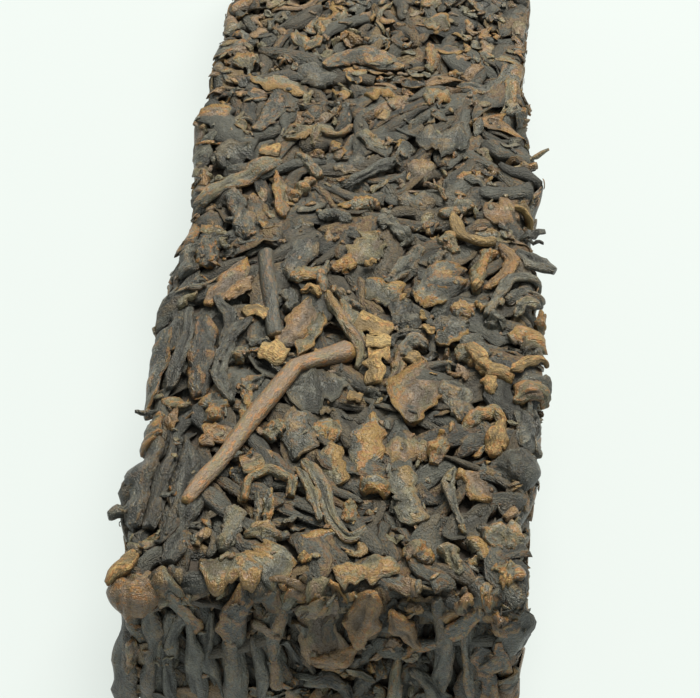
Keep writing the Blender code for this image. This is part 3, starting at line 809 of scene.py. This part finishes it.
# %% Rolled leaves placed by the photograph
ROLLS_SEEN = (
    # Rows at the left of the frame lie on the left shoulder; their low tones are partly painted shade.
    (1.9, 1.8, 0.3, 0.15, 0.5, 164, 318, 157, 350, 146, 392),
    (1.7, 1.6, 0.5, 0.1, 0.1, 187, 302, 187, 328, 179, 352, 168, 378),
    (2.9, 2, 0.4, 0.05, 0.4, 201, 312, 203, 345, 198, 390),
    (1.4, 1.3, -0.1, 0.05, 0.1, 176, 300, 173, 318, 170, 340),
    (1.6, 1.4, 0.2, 0.1, 0.1, 214, 296, 230, 314, 227, 334, 221, 345),
    (2, 1.6, 0.5, 0.1, 0.1, 252, 316, 238, 328, 226, 344, 219, 362),
    (1.6, 1.5, 0.5, 0.15, 0.1, 233, 342, 221, 358, 217, 374, 223, 388, 232, 400),
    (2.4, 1.8, 0.3, 0.2, 0.8, 207, 234, 205, 246, 208, 260),
    (2.6, 1.8, 0.2, 0.2, 0.2, 188, 236, 184, 248, 186, 262),
    (2.8, 1.8, 0.1, 0.15, 0.3, 186, 274, 196, 278, 206, 276),
    (3.2, 1.8, 0.1, 0.15, 0.3, 232, 188, 240, 208, 247, 234),
    (2.4, 1.5, 0.1, 0.7, 0.8, 276, 168, 280, 190, 284, 216),
    (2.6, 1.5, 0.3, 0.45, 0.5, 200, 194, 236, 176, 280, 158),
    (1.8, 1.4, 0.2, 0.45, 0.5, 296, 150, 308, 162, 320, 174),
    (2, 1.4, 0.3, 0.7, 0.9, 288, 196, 300, 188, 311, 178),
    (1.6, 1.4, 0.3, 0.15, 0, 344, 184, 368, 172, 396, 158),
    (1.8, 1.4, 0.2, 0.6, 0.4, 352, 120, 336, 134, 320, 129, 312, 142),
    (2.4, 1.4, 0.2, 0.45, 0.4, 356, 132, 372, 140, 388, 146),
    (2.8, 1.6, 0.3, 0.25, 0.1, 380, 216, 394, 225, 411, 237),
    (2.6, 1.5, 0.2, 0.45, 0.5, 440, 214, 458, 206, 477, 202),
    (1, 0.9, 0.3, 0.75, 0.5, 424, 182, 438, 188, 447, 199),
    (1.8, 1.4, 0.2, 0.15, 0.1, 318, 214, 334, 212, 352, 218),
    (2.4, 1.6, 0.1, 0.75, 0.8, 430, 40, 432, 52, 431, 66),
    (2.3, 1.5, 0.1, 0.35, 0.3, 386, 281, 402, 264, 421, 247),
    (1.8, 1.4, 0.2, 0.25, 0.2, 429, 262, 438, 256, 448, 250),
    (2, 1.4, 0.2, 0.5, 0.5, 438, 240, 448, 238, 457, 250),
    (1.9, 1.4, 0.2, 0.6, 1, 490, 250, 479, 266, 476, 288),
    (1.8, 1.4, 0.3, 1, 0.5, 500, 246, 513, 258, 508, 272, 489, 284),
    (1.5, 1.4, 0.5, 0.35, 0.2, 486, 316, 497, 296, 507, 283, 524, 273, 543, 277),
    (1.5, 1.2, 0.1, 0.15, 0.2, 507, 300, 518, 291, 529, 286),
    (1.2, 1.1, 0.3, 0.4, 0.3, 516, 315, 525, 304, 533, 296),
    (1.6, 1.3, 0.2, 0.2, 0.2, 534, 293, 546, 286, 556, 278),
    (2.2, 1.6, 0.3, 0.2, 0.1, 487, 326, 496, 320, 507, 318),
    (2.4, 1.7, 0.2, 0.2, 0.1, 463, 334, 477, 343, 490, 354),
    (2.4, 1.5, 0.2, 0.55, 0.5, 457, 345, 470, 352, 482, 362),
    (2.3, 1.4, 0.2, 0.1, 0.1, 392, 319, 406, 319, 421, 317),
    (1.7, 1.4, 0.2, 0.4, 0.6, 328, 260, 321, 276, 325, 290),
    (1.1, 1.1, 0.3, 0.3, 0.4, 336, 288, 350, 300, 364, 309),
    (1.7, 1.3, 0.4, 0.5, 0.5, 342, 300, 352, 322, 366, 345),
    (2.1, 1.5, 0.6, 0.65, 0.4, 328, 291, 335, 308, 345, 325, 357, 337, 363, 350, 356, 366),
    (1.3, 1.3, 0.3, 0.15, 0.1, 389, 344, 396, 334, 408, 331, 420, 334),
    (1.6, 1.4, 0.3, 0.3, 0.3, 404, 356, 406, 343, 418, 337, 428, 344),
    (1.3, 1.3, 0.2, 0.7, 0.4, 400, 349, 398, 370, 387, 386),
    (1.2, 1.1, -0.3, 0.15, 0.1, 364, 388, 375, 388, 387, 395),
    (1.2, 1.1, 0.2, 0.15, 0.1, 250, 346, 258, 340, 273, 339),
    (1.8, 1.4, 0.2, 0.5, 0.5, 234, 357, 240, 352, 249, 348),
    (1.6, 1.3, 0.1, 0.3, 0.4, 243, 388, 254, 379, 265, 372),
    (2.6, 1.9, 0.4, 0.3, 1, 212, 390, 214, 404, 213, 419),
    (2, 1.5, 0.1, 0.5, 0.6, 246, 386, 248, 402, 246, 420),
    (2.2, 1.5, 0, 0.5, 0.8, 266, 434, 274, 426, 284, 420),
    (2.1, 1.6, 0.1, 0.2, 0.1, 520, 380, 540, 377, 560, 372),
    (1.9, 1.5, 0.3, 0.65, 0.9, 515, 401, 532, 387, 556, 388),
    (2, 1.5, 0.3, 0.6, 0.7, 463, 427, 476, 414, 496, 409, 506, 420),
    (3.2, 1.8, 0.1, 0.3, 0.3, 444, 376, 456, 390, 462, 418),
    (1.8, 1.4, 0.2, 0.7, 1, 444, 430, 439, 444, 434, 460),
    (1.8, 1.6, 0, 0.15, 0.1, 520, 404, 526, 424, 524, 446),
    (1.8, 1.6, 0.1, 0.2, 0.2, 536, 400, 540, 420, 538, 442),
    (1.5, 1.3, 0.3, 0.6, 0.8, 244, 499, 247, 478, 269, 467, 292, 477, 290, 492),
    (1.2, 1.1, 0.1, 0.55, 0.9, 271, 486, 269, 502, 266, 520),
    (1.2, 1.1, 0, 0.3, 0.3, 257, 490, 258, 504, 256, 520),
    (1.6, 1.3, 0.1, 0.5, 0.4, 244, 532, 262, 526, 282, 532),
    (1.5, 1.3, 0.2, 0.4, 0.4, 304, 456, 323, 486, 332, 518, 349, 536, 366, 526),
    (1.3, 1.2, 0.1, 0.5, 0.4, 296, 462, 312, 490, 320, 520),
    (1.5, 1.3, 0.2, 0.5, 0.8, 350, 496, 351, 510, 350, 522),
    (2.2, 1.6, 0.3, 0.6, 0.9, 362, 488, 374, 480, 388, 492),
    (1.6, 1.4, 0.3, 0.4, 0.2, 455, 466, 446, 480, 452, 500, 463, 524),
    (2.2, 1.5, 0.1, 0.7, 0.9, 404, 542, 418, 550, 432, 560),
    (2.1, 1.7, 0.1, 0.05, 0.1, 184, 430, 192, 462, 178, 500, 166, 532),
    (1.8, 1.6, 0.1, 0, 0.1, 170, 428, 168, 456, 156, 490, 148, 520),
    (2.2, 1.7, 0.2, 0.1, 0.1, 200, 474, 190, 506, 176, 540, 168, 560),
    (2, 1.6, 0, 0.05, 0.2, 154, 424, 146, 452, 138, 484, 132, 512),
    (2.4, 1.7, 0, 0.3, 0.8, 158, 398, 150, 412, 142, 430),
    (2.6, 1.6, 0.1, 0.4, 0.2, 222, 546, 232, 526, 236, 506),
    (3, 2, 0.2, 0.45, 0.5, 486, 540, 502, 530, 522, 536),
    (2.8, 1.8, 0.2, 0.45, 0.8, 492, 566, 506, 572, 524, 568),
    (2.4, 1.8, 0.2, 0.5, 0.3, 446, 540, 452, 556, 462, 572),
)

# %% Stems, buds and chips placed by the photograph
STEMS_SEEN = (
    (2.2, 2.1, 1, 0.74, 1, 353, 349, 330, 356, 296, 367, 258, 412, 244, 430, 217, 465, 185, 505),
    (1.9, 1.8, 0.6, 0.15, 0.3, 265, 249, 269, 285, 275, 335),
)
CHIPS_SEEN = (
    (2.8, 0.6, 0.8, 0.95, 0.5, 261, 350, 287, 357),
    (3, 0.5, 0.5, 0.6, 1, 357, 321, 372, 326, 391, 333),
    (2.4, 0.5, 0.5, 0.8, 0.5, 368, 355, 390, 354),
    (2.3, 0.5, 0.8, 1, 0.3, 366, 343, 391, 344),
    (2.7, 0.7, 0.7, 0.7, 0.6, 374, 359, 373, 384),
    (1.9, 0.6, 0.5, 0.45, 1, 244, 314, 256, 310, 268, 317),
    (2.2, 0.6, 0.4, 0.4, 0.3, 348, 396, 362, 398),
    (1.9, 0.6, 0.5, 0.35, 0.2, 408, 362, 417, 353),
    (2.4, 1, 0.6, 0.3, 0.8, 517, 207, 531, 211),
    (2.6, 0.7, 0.5, 0.2, 0.8, 260, 150, 280, 152),
)
BUDS_SEEN = (
    (1.2, 0.8, 0.4, 0.5, 1, 301, 292, 310, 287, 320, 294),
    (1, 0.6, 0.4, 0.6, 1, 365, 266, 376, 260),
    (2, 1.5, 0.6, 0.45, 0.7, 468, 346, 480, 356, 485, 372),
    (2.8, 1.7, 0.7, 0.55, 0.9, 478, 364, 494, 370, 516, 375),
    (1.5, 1, 0.4, 0.55, 0.9, 488, 376, 493, 393),
    (1.2, 0.9, 0.7, 0.6, 0.8, 512, 373, 524, 366, 537, 356),
    (1.9, 1.5, 0.8, 0.35, 0.1, 453, 214, 458, 230, 466, 240, 480, 241, 496, 244),
    (2.3, 1.7, 0.5, 0.35, 1, 503, 418, 499, 436, 493, 454),
    (1.6, 1.2, 0.5, 0.45, 1, 495, 446, 506, 443),
    (0.9, 0.6, 0.4, 0.8, 0.5, 421, 313, 424, 320),
    (1, 0.6, 0.4, 0.8, 0.5, 425, 325, 432, 335),
    (1, 0.7, 0.3, 0.5, 1, 476, 303, 486, 308),
    (1, 0.7, 0.3, 0.5, 1, 475, 288, 481, 279),
    (1.6, 1, 0.3, 0.2, 1, 298, 555, 312, 558),
    (1.7, 1.2, 0.3, 0.4, 0.8, 500, 577, 513, 579),
    (2, 1.5, 0.8, 0.3, 0.9, 118, 557, 136, 561),
)
place_seen(FLAKES_SEEN, long_sheet, top_flakes, leaf_flake, on_top, wave=0.18)
place_seen(ROLLS_SEEN, long_sheet, top_rolls, rolled_leaf, on_top)
place_seen(STEMS_SEEN, long_sheet, stems, stem, on_top, soft=1)
place_seen(CHIPS_SEEN, long_sheet, chips, leaf_flake, on_top, soft=1, wave=0.12, jag=0.09, ends=(0.05, 0.15))
place_seen(BUDS_SEEN, long_sheet, chips, rolled_leaf, on_top, soft=3)

# %% [markdown]
# Some pieces stand out past the bar's faces, where no leaf could be laid: two balled leaves and nine
# tips. Each row gives where a piece starts and stops in mm, its width, thickness, tone and rust.

# %% Pieces that stand out of the bar
KNOBS_SEEN = (((17.2, -55.8, 24.0), (22.8, -56.1, 23.8), 5.4, 5.0, 0.1, 0.1),
              ((-22.9, -74.2, 22.4), (-17.1, -74.4, 22.4), 5.2, 5.8, 0.85, 1.0))
TIPS_SEEN = (((19.2, -4.2, 24.0), (23.0, -2.6, 24.4), 1.6, 1.2, 0.75, 0.6),
             ((20.8, -2.4, 24.2), (24.6, -0.6, 25.2), 0.7, 0.6, 0.5, 0.4),
             ((20.2, -17.8, 24.2), (23.8, -16.6, 24.9), 1.2, 0.9, 0.1, 0.0),
             ((21.4, -17.9, 24.1), (23.6, -18.6, 24.6), 0.7, 0.6, 0.1, 0.0),
             ((20.2, -20.4, 24.4), (25.0, -23.4, 24.2), 2.4, 1.6, 0.2, 0.1),
             ((20.6, -37.0, 24.0), (23.6, -38.8, 23.6), 2.2, 1.6, 0.15, 0.1),
             ((-20.4, -61.6, 21.4), (-24.6, -63.4, 21.8), 1.8, 1.4, 0.2, 0.2),
             ((-20.6, -48.6, 22.4), (-23.8, -49.0, 22.6), 0.8, 0.6, 0.2, 0.2),
             ((-20.2, 2.2, 23.2), (-23.8, 4.4, 23.8), 1.4, 1.1, 0.6, 0.5))
knobs, tips = Kind("knobs", Grid(26, 28)), Kind("tips", Grid(16, 12))


def stand_free(shape, start, stop):
    """A leaf on a straight line in space: line, plus across times its side, plus up times its upward."""
    across, up, ridge = shape
    line = np.array(stop) - start
    side = np.cross(line, (0, 0, 1.0))
    side /= np.linalg.norm(side)
    upward = np.cross(side, line / np.linalg.norm(line))
    t = np.linspace(0, 1, len(across))[:, None, None]
    return np.array(start) + t * line - across[..., None] * side + (up - up.mean())[..., None] * upward, ridge


for kind, rows, shape_of in ((knobs, KNOBS_SEEN, balled_leaf), (tips, TIPS_SEEN, rolled_leaf)):
    for start, stop, width, thickness, tone, rust in rows:
        length = math.dist(start, stop)
        kind.add(stand_free(shape_of(kind.grid, length, width, thickness), start, stop), tone, rust)
print(len(KNOBS_SEEN), "knobs and", len(TIPS_SEEN), "tips stand out")

# %% The upper leaves
side_rolls, side_flakes = Kind("side_rolled_leaves", MID_ROLL), Kind("side_flat_leaves", MID_FLAKE)
end_rolls, end_flakes = Kind("end_rolled_leaves", Grid(24, 14)), Kind("end_flat_leaves", Grid(18, 18))
for area, level in ((TOP, TOP_LEVEL), (OFF_SHOULDER, TOP_LEVEL_OFF_SHOULDER)):
    print("top leaves", fill(long_sheet, (area, ALONG), level, top_rolls, top_flakes, 0.4))
for area in (RIGHT, LEFT):
    print("side leaves", fill(long_sheet, (area, ALONG), SIDE_LEVEL, side_rolls, side_flakes, 0.3, 1.4))

# The near end's leaves, in rows like those of the top.
END_SEEN = (
    (3.2, 1.4, 0.5, 1, 1, 372, 596, 364, 622, 358, 646),
    (2.8, 1.4, 0.5, 1, 1, 356, 648, 338, 658, 314, 664),
    (2.6, 1.4, 0.5, 1, 1, 392, 612, 404, 630, 418, 648),
    (2.6, 1.5, 0, 0.2, 0.1, 186, 606, 190, 640, 206, 735),
    (1.6, 1.4, -0.2, 0.2, 0.1, 210, 620, 206, 660, 222, 700),
    (3, 1.5, 0.1, 0.25, 0.2, 240, 604, 232, 640, 236, 735),
    (1.6, 1.4, 0, 0.2, 0.1, 252, 640, 264, 680, 256, 735),
    (2.6, 1.4, -0.1, 0.3, 0.4, 282, 612, 270, 640, 276, 690),
    (2.8, 1.6, 0, 0.15, 0.2, 146, 608, 152, 640, 148, 700),
    (2.2, 1.5, -0.2, 0.15, 0.1, 168, 616, 164, 660, 176, 735),
    (1.8, 1.4, 0, 0.7, 0.8, 132, 640, 130, 656, 126, 676),
    (3.2, 1.6, -1, 0.1, 0.2, 124, 612, 124, 650, 120, 735),
    (2.8, 1.5, -0.1, 0.2, 0.2, 436, 606, 446, 640, 440, 700),
    (2, 1.5, -0.2, 0.3, 0.4, 474, 616, 468, 640, 478, 735),
    (2.4, 1.4, -0.1, 0.2, 0.2, 304, 690, 330, 684, 350, 700),
    (2.2, 1.4, -0.1, 0.25, 0.2, 410, 676, 430, 690, 452, 716),
    (1.6, 1.2, 0.3, 0.75, 1, 500, 616, 508, 624),
    (1.8, 1.2, 0.3, 0.75, 1, 496, 684, 508, 735),
    (1.8, 1.4, 0.2, 0.5, 0.5, 398, 660, 390, 735),
)
place_seen(END_SEEN, near_end, end_rolls, rolled_leaf, on_near_end)
for sheet in (near_end, far_end):
    print("end leaves", fill(sheet, END, END_LEVEL, end_rolls, end_flakes, 0.2, 0.5))

# %% Small broken pieces
FINE_BIT, MID_BIT = Grid(11, 10), Grid(8, 8)
top_bits, side_bits = Kind("top_broken_leaves", FINE_BIT), Kind("side_broken_leaves", MID_BIT)
end_bits = Kind("end_broken_leaves", MID_BIT)


def bit_size():
    """Length, width and thickness of a broken piece."""
    length = draw.uniform(1.3, 4.2)
    return length, float(np.clip(length * draw.uniform(0.3, 0.7), 0.8, 2.4)), draw.uniform(0.25, 0.6)


FLAT_BITS = 0.8


def scatter_bits(sheet, area, kind, count):
    """Drops broken pieces one by one into the lowest places of an area, most of them flat."""
    for _ in range(count):
        length, width, thickness = bit_size()
        shape_of = leaf_flake if draw.uniform() < FLAT_BITS else rolled_leaf
        start, heading = lowest_place(sheet, area, length, width, 2.6, 1.5)
        shape = shape_of(kind.grid, length, width, thickness)
        path = middle_line(kind.grid, start, heading, length, draw.normal(0, 0.8), draw.normal(0, 0.4))
        kind.add(lay(sheet, kind.grid, shape, path), draw.uniform(), draw.beta(1.2, 2.0))


TOP_COUNT, SIDE_COUNT, END_COUNT = 400, 160, 70
scatter_bits(long_sheet, (TOP, ALONG), top_bits, TOP_COUNT)
for area in (RIGHT, LEFT):
    scatter_bits(long_sheet, (area, ALONG), side_bits, SIDE_COUNT)
for sheet in (near_end, far_end):
    scatter_bits(sheet, END, end_bits, END_COUNT)
print("broken pieces:", [len(kind.places) for kind in (top_bits, side_bits, end_bits)])

# %% Crumbs in the hollows
crumbs = Kind("crumbs", Grid(4, 5))
for sheet, area, count in ((long_sheet, (TOP, ALONG), 500), (long_sheet, (RIGHT, ALONG), 160),
                           (long_sheet, (LEFT, ALONG), 160), (near_end, END, 60), (far_end, END, 60)):
    for _ in range(count):
        length, width = draw.uniform(0.6, 1.8), draw.uniform(0.4, 1.0)
        start = draw.uniform(*area[0]), draw.uniform(*area[1])
        path = middle_line(crumbs.grid, start, draw.uniform(0, math.pi), length, 0.0, 0.0)
        shape = rolled_leaf(crumbs.grid, length, width, width * 0.6, 0)
        laid = lay(sheet, crumbs.grid, shape, path, wall=COAT + 0.2)
        crumbs.add(laid, draw.uniform(), draw.beta(1.0, 1.5))

# %% [markdown]
# Under everything lies the dark core, a rough block that fills the gaps between the lowest leaves.
# Its near-black colour is painted shade for those gaps.

# %% The core
CORE_RINGS, CORE_STEPS, CAP_RINGS = 80, 88, 6
CORE_SINK, CORE_SWING = SKIN_DEPTH - 0.35, 0.4
CORE_END, CORE_END_SWING = SKIN_CORNER - SKIN_DEPTH + 0.3, 0.3
CAP_HOLE = 0.5


def core_mesh():
    """Rings round the section from one end to the other, with smaller and smaller rings on the ends."""
    cap = np.linspace(HALF_HEIGHT - CAP_HOLE, 0, CAP_RINGS)
    inset = np.concatenate([cap, np.zeros(CORE_RINGS), cap[::-1]])
    along = np.pad(np.linspace(-END_TURN, END_TURN, CORE_RINGS), CAP_RINGS, 'edge')
    s, v = np.meshgrid(np.linspace(-ROUND / 2, ROUND / 2, CORE_STEPS, endpoint=False), along)
    x, z, nx, nz = section(s)
    depth = CORE_SWING * drift(s, v, 4.0, 9) - CORE_SINK - inset[:, None]
    bulge = CORE_END + CORE_END_SWING * drift(x, z, 3.0, 11)
    y = v + np.sign(v) * bulge * (np.abs(v) > END_TURN - 0.1)
    rings = follow_edges(np.stack([x + nx * depth, y, z + nz * depth + HEIGHT / 2], axis=-1))
    return fill_mesh("core", with_poles(rings[None])[0], *leaf_faces(Grid(*rings.shape[:2])))


# %% [markdown]
# Finishes. Fermented tea is nearly black where it is whole, with a grey bloom on what faces the air.
# Where a fold is rubbed it turns rust, and torn edges and bits of bud are tan. Low folds, creases and
# small pits are darkened towards near black as painted shade. One function makes all four tea finishes,
# each from its own run of tones, the lower leaves' run darker as painted shade for the gaps, and the
# core has a plain near-black one, mottled by noise, as painted shade for the deep gaps.

# %% A small helper for node trees
class Shader:
    """A material under construction: node() adds one node and sets or links its inputs by name."""

    def __init__(self, name):
        self.material = bpy.data.materials.new(name)
        self.material.use_nodes = True
        self.tree = self.material.node_tree
        self.surface = self.tree.nodes["Principled BSDF"]

    def feed(self, socket, value):
        """Links a socket, or sets a plain value."""
        if isinstance(value, bpy.types.NodeSocket):
            self.tree.links.new(value, socket)
        else:
            socket.default_value = value

    def node(self, kind, inputs=(), output=0, **settings):
        """Adds a node, feeds its inputs by name or number, and gives back one of its outputs."""
        made = self.tree.nodes.new("ShaderNode" + kind)
        for name, value in settings.items():
            setattr(made, name, value)
        for key, value in dict(inputs).items():
            self.feed(made.inputs[key], value)
        return made.outputs[output]

    def attribute(self, name, output):
        """Reads an attribute of the mesh."""
        return self.node("Attribute", output=output, attribute_name=name)

    def noise(self, place, scale, detail=4.0, roughness=0.6):
        """Noise from 0 to 1 at a place."""
        inputs = {"Vector": place, "Scale": scale, "Detail": detail, "Roughness": roughness}
        return self.node("TexNoise", inputs)

    def ramp(self, value, low, high):
        """Zero below low, one above high, smooth in between."""
        return self.node("MapRange", {"Value": value, 1: low, 2: high}, interpolation_type='SMOOTHSTEP')

    def maths(self, operation, a, b):
        """One sum of two numbers."""
        return self.node("Math", {0: a, 1: b}, operation=operation)

    def mix(self, share, a, b):
        """Colour between a and b."""
        return self.node("Mix", {0: share, 6: a, 7: b}, 2, data_type='RGBA')

    def stops(self, value, colours):
        """Colour by value from 0 to 1 along even stops."""
        ramp = self.tree.nodes.new("ShaderNodeValToRGB")
        elements = ramp.color_ramp.elements
        while len(elements) < len(colours):
            elements.new(0.5)
        for index, colour in enumerate(colours):
            elements[index].position = index / (len(colours) - 1)
            elements[index].color = colour
        self.feed(ramp.inputs["Fac"], value)
        return ramp.outputs["Color"]

    def scaled(self, vector, by):
        """Vector times another, part by part."""
        return self.node("VectorMath", {0: vector, 1: by}, operation='MULTIPLY')

    def finish(self, colour, roughness, height, depth):
        """Feeds the surface its colour, its roughness and a bump of a depth in mm, and gives the material."""
        bump = self.node("Bump", {"Height": height, "Strength": 1.0, "Distance": depth * MM})
        for name, value in (("Base Color", colour), ("Roughness", roughness), ("Normal", bump)):
            self.feed(self.surface.inputs[name], value)
        return self.material


# Near black for painted shade in low folds, crease lines and small pits.
PAINTED_FOLD_SHADE = (0.010, 0.010, 0.009, 1)


def tea_material(name, tones, rust, tan, rough, bump, crease_shade_share=0.1, fold_shade_share=0.6):
    """Base colour by tone along even stops, blotched with rust and tan most of all where a ridge is rubbed,
    and speckled all over. Low folds and crease lines are darkened towards near black, each by a share
    given as an argument: painted shade, as is the darkening of small pits. The bump, in mm, is fine
    pebbles and creases that run down the leaf."""
    shader = Shader(name)
    sums = ('MULTIPLY', 'ADD', 'SUBTRACT', 'MAXIMUM')
    times, plus, less, most = (partial(shader.maths, operation) for operation in sums)
    grain = shader.attribute("grain", "Vector")
    tone, ridge, rusty = (shader.attribute(key, "Fac") for key in ("tone", "ridge", "rust"))
    patches = shader.noise(shader.scaled(grain, (0.5, 0.9, 0.9)), 0.6, 4.0, 0.6)
    blotches = shader.noise(shader.scaled(grain, (0.7, 1.0, 1.0)), 1.2, 4.0, 0.62)
    dabs = shader.noise(shader.scaled(grain, (-0.8, 1.0, -1.0)), 2.2, 3.0, 0.6)
    speckle = shader.noise(grain, 4.2, 2.0, 0.5)
    folds = shader.noise(shader.scaled(grain, (0.6, 1.2, 1.2)), 1.5, 3.0, 0.55)
    creases = shader.ramp(shader.maths('ABSOLUTE', less(folds, 0.5), 0.0), 0.0, 0.09)

    colour = shader.stops(plus(tone, times(less(patches, 0.5), 1.2)), tones)
    worn = times(shader.ramp(plus(times(ridge, 0.45), blotches), 0.52, 0.62), shader.ramp(rusty, 0.0, 0.8))
    bright = times(shader.ramp(plus(times(ridge, 0.4), dabs), 0.58, 0.68), shader.ramp(rusty, -0.2, 0.8))
    fleck = times(shader.ramp(speckle, 0.55, 0.7), shader.ramp(rusty, -0.6, 1.0))
    for share, strength, over in ((worn, 0.85, rust), (bright, 0.85, tan), (fleck, 0.6, tan)):
        colour = shader.mix(times(share, strength), colour, over)
    # Painted shade: small pits, low folds and crease lines are darkened towards near black.
    shaded_pits = times(shader.ramp(speckle, 0.48, 0.32), 0.45)
    shaded_folds_and_pits = most(times(shader.ramp(ridge, -0.04, -0.32), fold_shade_share), shaded_pits)
    colour = shader.mix(most(shaded_folds_and_pits, times(less(1.0, creases), crease_shade_share)), colour, PAINTED_FOLD_SHADE)

    height = plus(plus(times(creases, 0.18), times(dabs, 1.2)), times(speckle, 0.8))
    return shader.finish(colour, plus(times(speckle, 0.5), rough - 0.25), height, bump)


DARK, SLATE, GREY = (0.028, 0.028, 0.025, 1), (0.066, 0.068, 0.058, 1), (0.122, 0.120, 0.097, 1)
OLIVE, PLUM, BROWN = (0.145, 0.126, 0.068, 1), (0.158, 0.110, 0.076, 1), (0.176, 0.108, 0.050, 1)
RUST, TAN = (0.252, 0.105, 0.022, 1), (0.228, 0.147, 0.045, 1)
# The lower leaves' tones, rust and tan are darker than the upper ones': painted shade for the gaps they show
# through, and partly the duller colour of unrubbed inner tea.
SHADE_TONES = (DARK, SLATE, (0.050, 0.049, 0.040, 1), (0.052, 0.042, 0.028, 1))
SHADE_RUST, SHADE_TAN = (0.10, 0.050, 0.018, 1), (0.13, 0.090, 0.038, 1)
STEM_RUST = (0.29, 0.125, 0.036, 1)
BUD_TONES = (OLIVE, (0.17, 0.11, 0.040, 1), (0.23, 0.150, 0.055, 1), (0.27, 0.17, 0.058, 1),
             (0.33, 0.23, 0.090, 1))
BUD_RUST, BUD_TAN = (0.30, 0.135, 0.036, 1), (0.33, 0.225, 0.080, 1)
LEAF_TONES = (DARK, SLATE, GREY, OLIVE, PLUM, BROWN)
leaf_finish = tea_material("pressed_tea", LEAF_TONES, RUST, TAN, 0.36, 0.28, 0.25)
shade_finish = tea_material("inner_tea_painted_shade", SHADE_TONES, SHADE_RUST, SHADE_TAN, 0.55, 0.35)
stem_finish = tea_material("tea_stem", (DARK, SLATE, OLIVE, PLUM, BROWN), STEM_RUST, TAN, 0.5, 0.15, 0.3)
chip_finish = tea_material("tea_bud", BUD_TONES, BUD_RUST, BUD_TAN, 0.6, 0.25, 0.5, 0.55)

# The core's near-black colour, mottled by noise, is painted shade for the deep gaps.
core_shader = Shader("tea_core")
dust = core_shader.noise(core_shader.node("TexCoord", output="Object"), 900.0)
dark_core_shade = core_shader.mix(dust, (0.012, 0.010, 0.008, 1), (0.05, 0.036, 0.024, 1))
core_finish = core_shader.finish(dark_core_shade, 0.85, dust, 0.5)

print("rust and tan over", len(LEAF_TONES), "tones of leaf and", len(BUD_TONES), "of bud")

# %% All pieces
FINISHED = (
    (shade_finish, (low_rolls, low_flakes)),
    (leaf_finish, (base_rolls, base_flakes, top_rolls, top_flakes, side_rolls, side_flakes, end_rolls,
                   end_flakes, top_bits, side_bits, end_bits, knobs, tips)),
    (stem_finish, (stems,)),
    (chip_finish, (chips,)),
    (leaf_finish, (crumbs,)),
)
for finish, kinds in FINISHED:
    for kind in kinds:
        make_kind(kind, finish)
as_piece("core", core_mesh(), core_finish)

# %% [markdown]
# The photograph is taken on a bright white table under soft light from above and behind, so the near
# end is in shade and the floor shows no edge and hardly a shadow.

# %% Floor, light and picture
FLOOR_HALF, FLOOR_GAP = 3.0, 0.0002
WINDOW_PLACE, WINDOW_AIM = np.array([0.20, 0.44, 1.06]), np.array([0.0, 0.0, 0.02])
WINDOW_SIZE, WINDOW_POWER, WINDOW_COLOUR = 0.66, 30.6, (1.0, 0.965, 0.86)
FLOOR_COLOUR, GLOW_COLOUR, GLOW = (0.09, 0.098, 0.106, 1), (0.93, 1.0, 0.94, 1), 0.69
SKY_COLOUR, SKY_STRENGTH = (0.92, 1.0, 0.96, 1), 0.52

floor_mesh = bpy.data.meshes.new("floor")
floor_corners = [(x * FLOOR_HALF, y * FLOOR_HALF, 0) for x, y in ((-1, -1), (1, -1), (1, 1), (-1, 1))]
floor_mesh.from_pydata(floor_corners, [], [(0, 1, 2, 3)])
floor = add_object("floor", floor_mesh)
floor.location.z = -FLOOR_GAP
table = Shader("pale_table")
for name, value in (("Base Color", FLOOR_COLOUR), ("Roughness", 0.9), ("Emission Color", GLOW_COLOUR),
                    ("Emission Strength", GLOW)):
    table.surface.inputs[name].default_value = value
floor_mesh.materials.append(table.material)

lamp = bpy.data.lights.new("window", 'AREA')
lamp.shape, lamp.size, lamp.energy, lamp.color = 'SQUARE', WINDOW_SIZE, WINDOW_POWER, WINDOW_COLOUR
window = add_object("window", lamp)
window.location = WINDOW_PLACE
away = WINDOW_PLACE - WINDOW_AIM
down_by, round_by = math.acos(away[2] / np.linalg.norm(away)), math.atan2(away[1], away[0])
window.rotation_euler = (down_by, 0, round_by + math.pi / 2)

world = bpy.data.worlds.new("studio")
world.use_nodes = True
sky = world.node_tree.nodes["Background"]
sky.inputs["Color"].default_value, sky.inputs["Strength"].default_value = SKY_COLOUR, SKY_STRENGTH
bpy.context.scene.world = world
bpy.context.scene.view_settings.view_transform = 'Standard'
print("floor", 2 * FLOOR_HALF, "m wide, and a window light of", WINDOW_POWER, "W")

# %% Finish
bpy.context.view_layer.update()
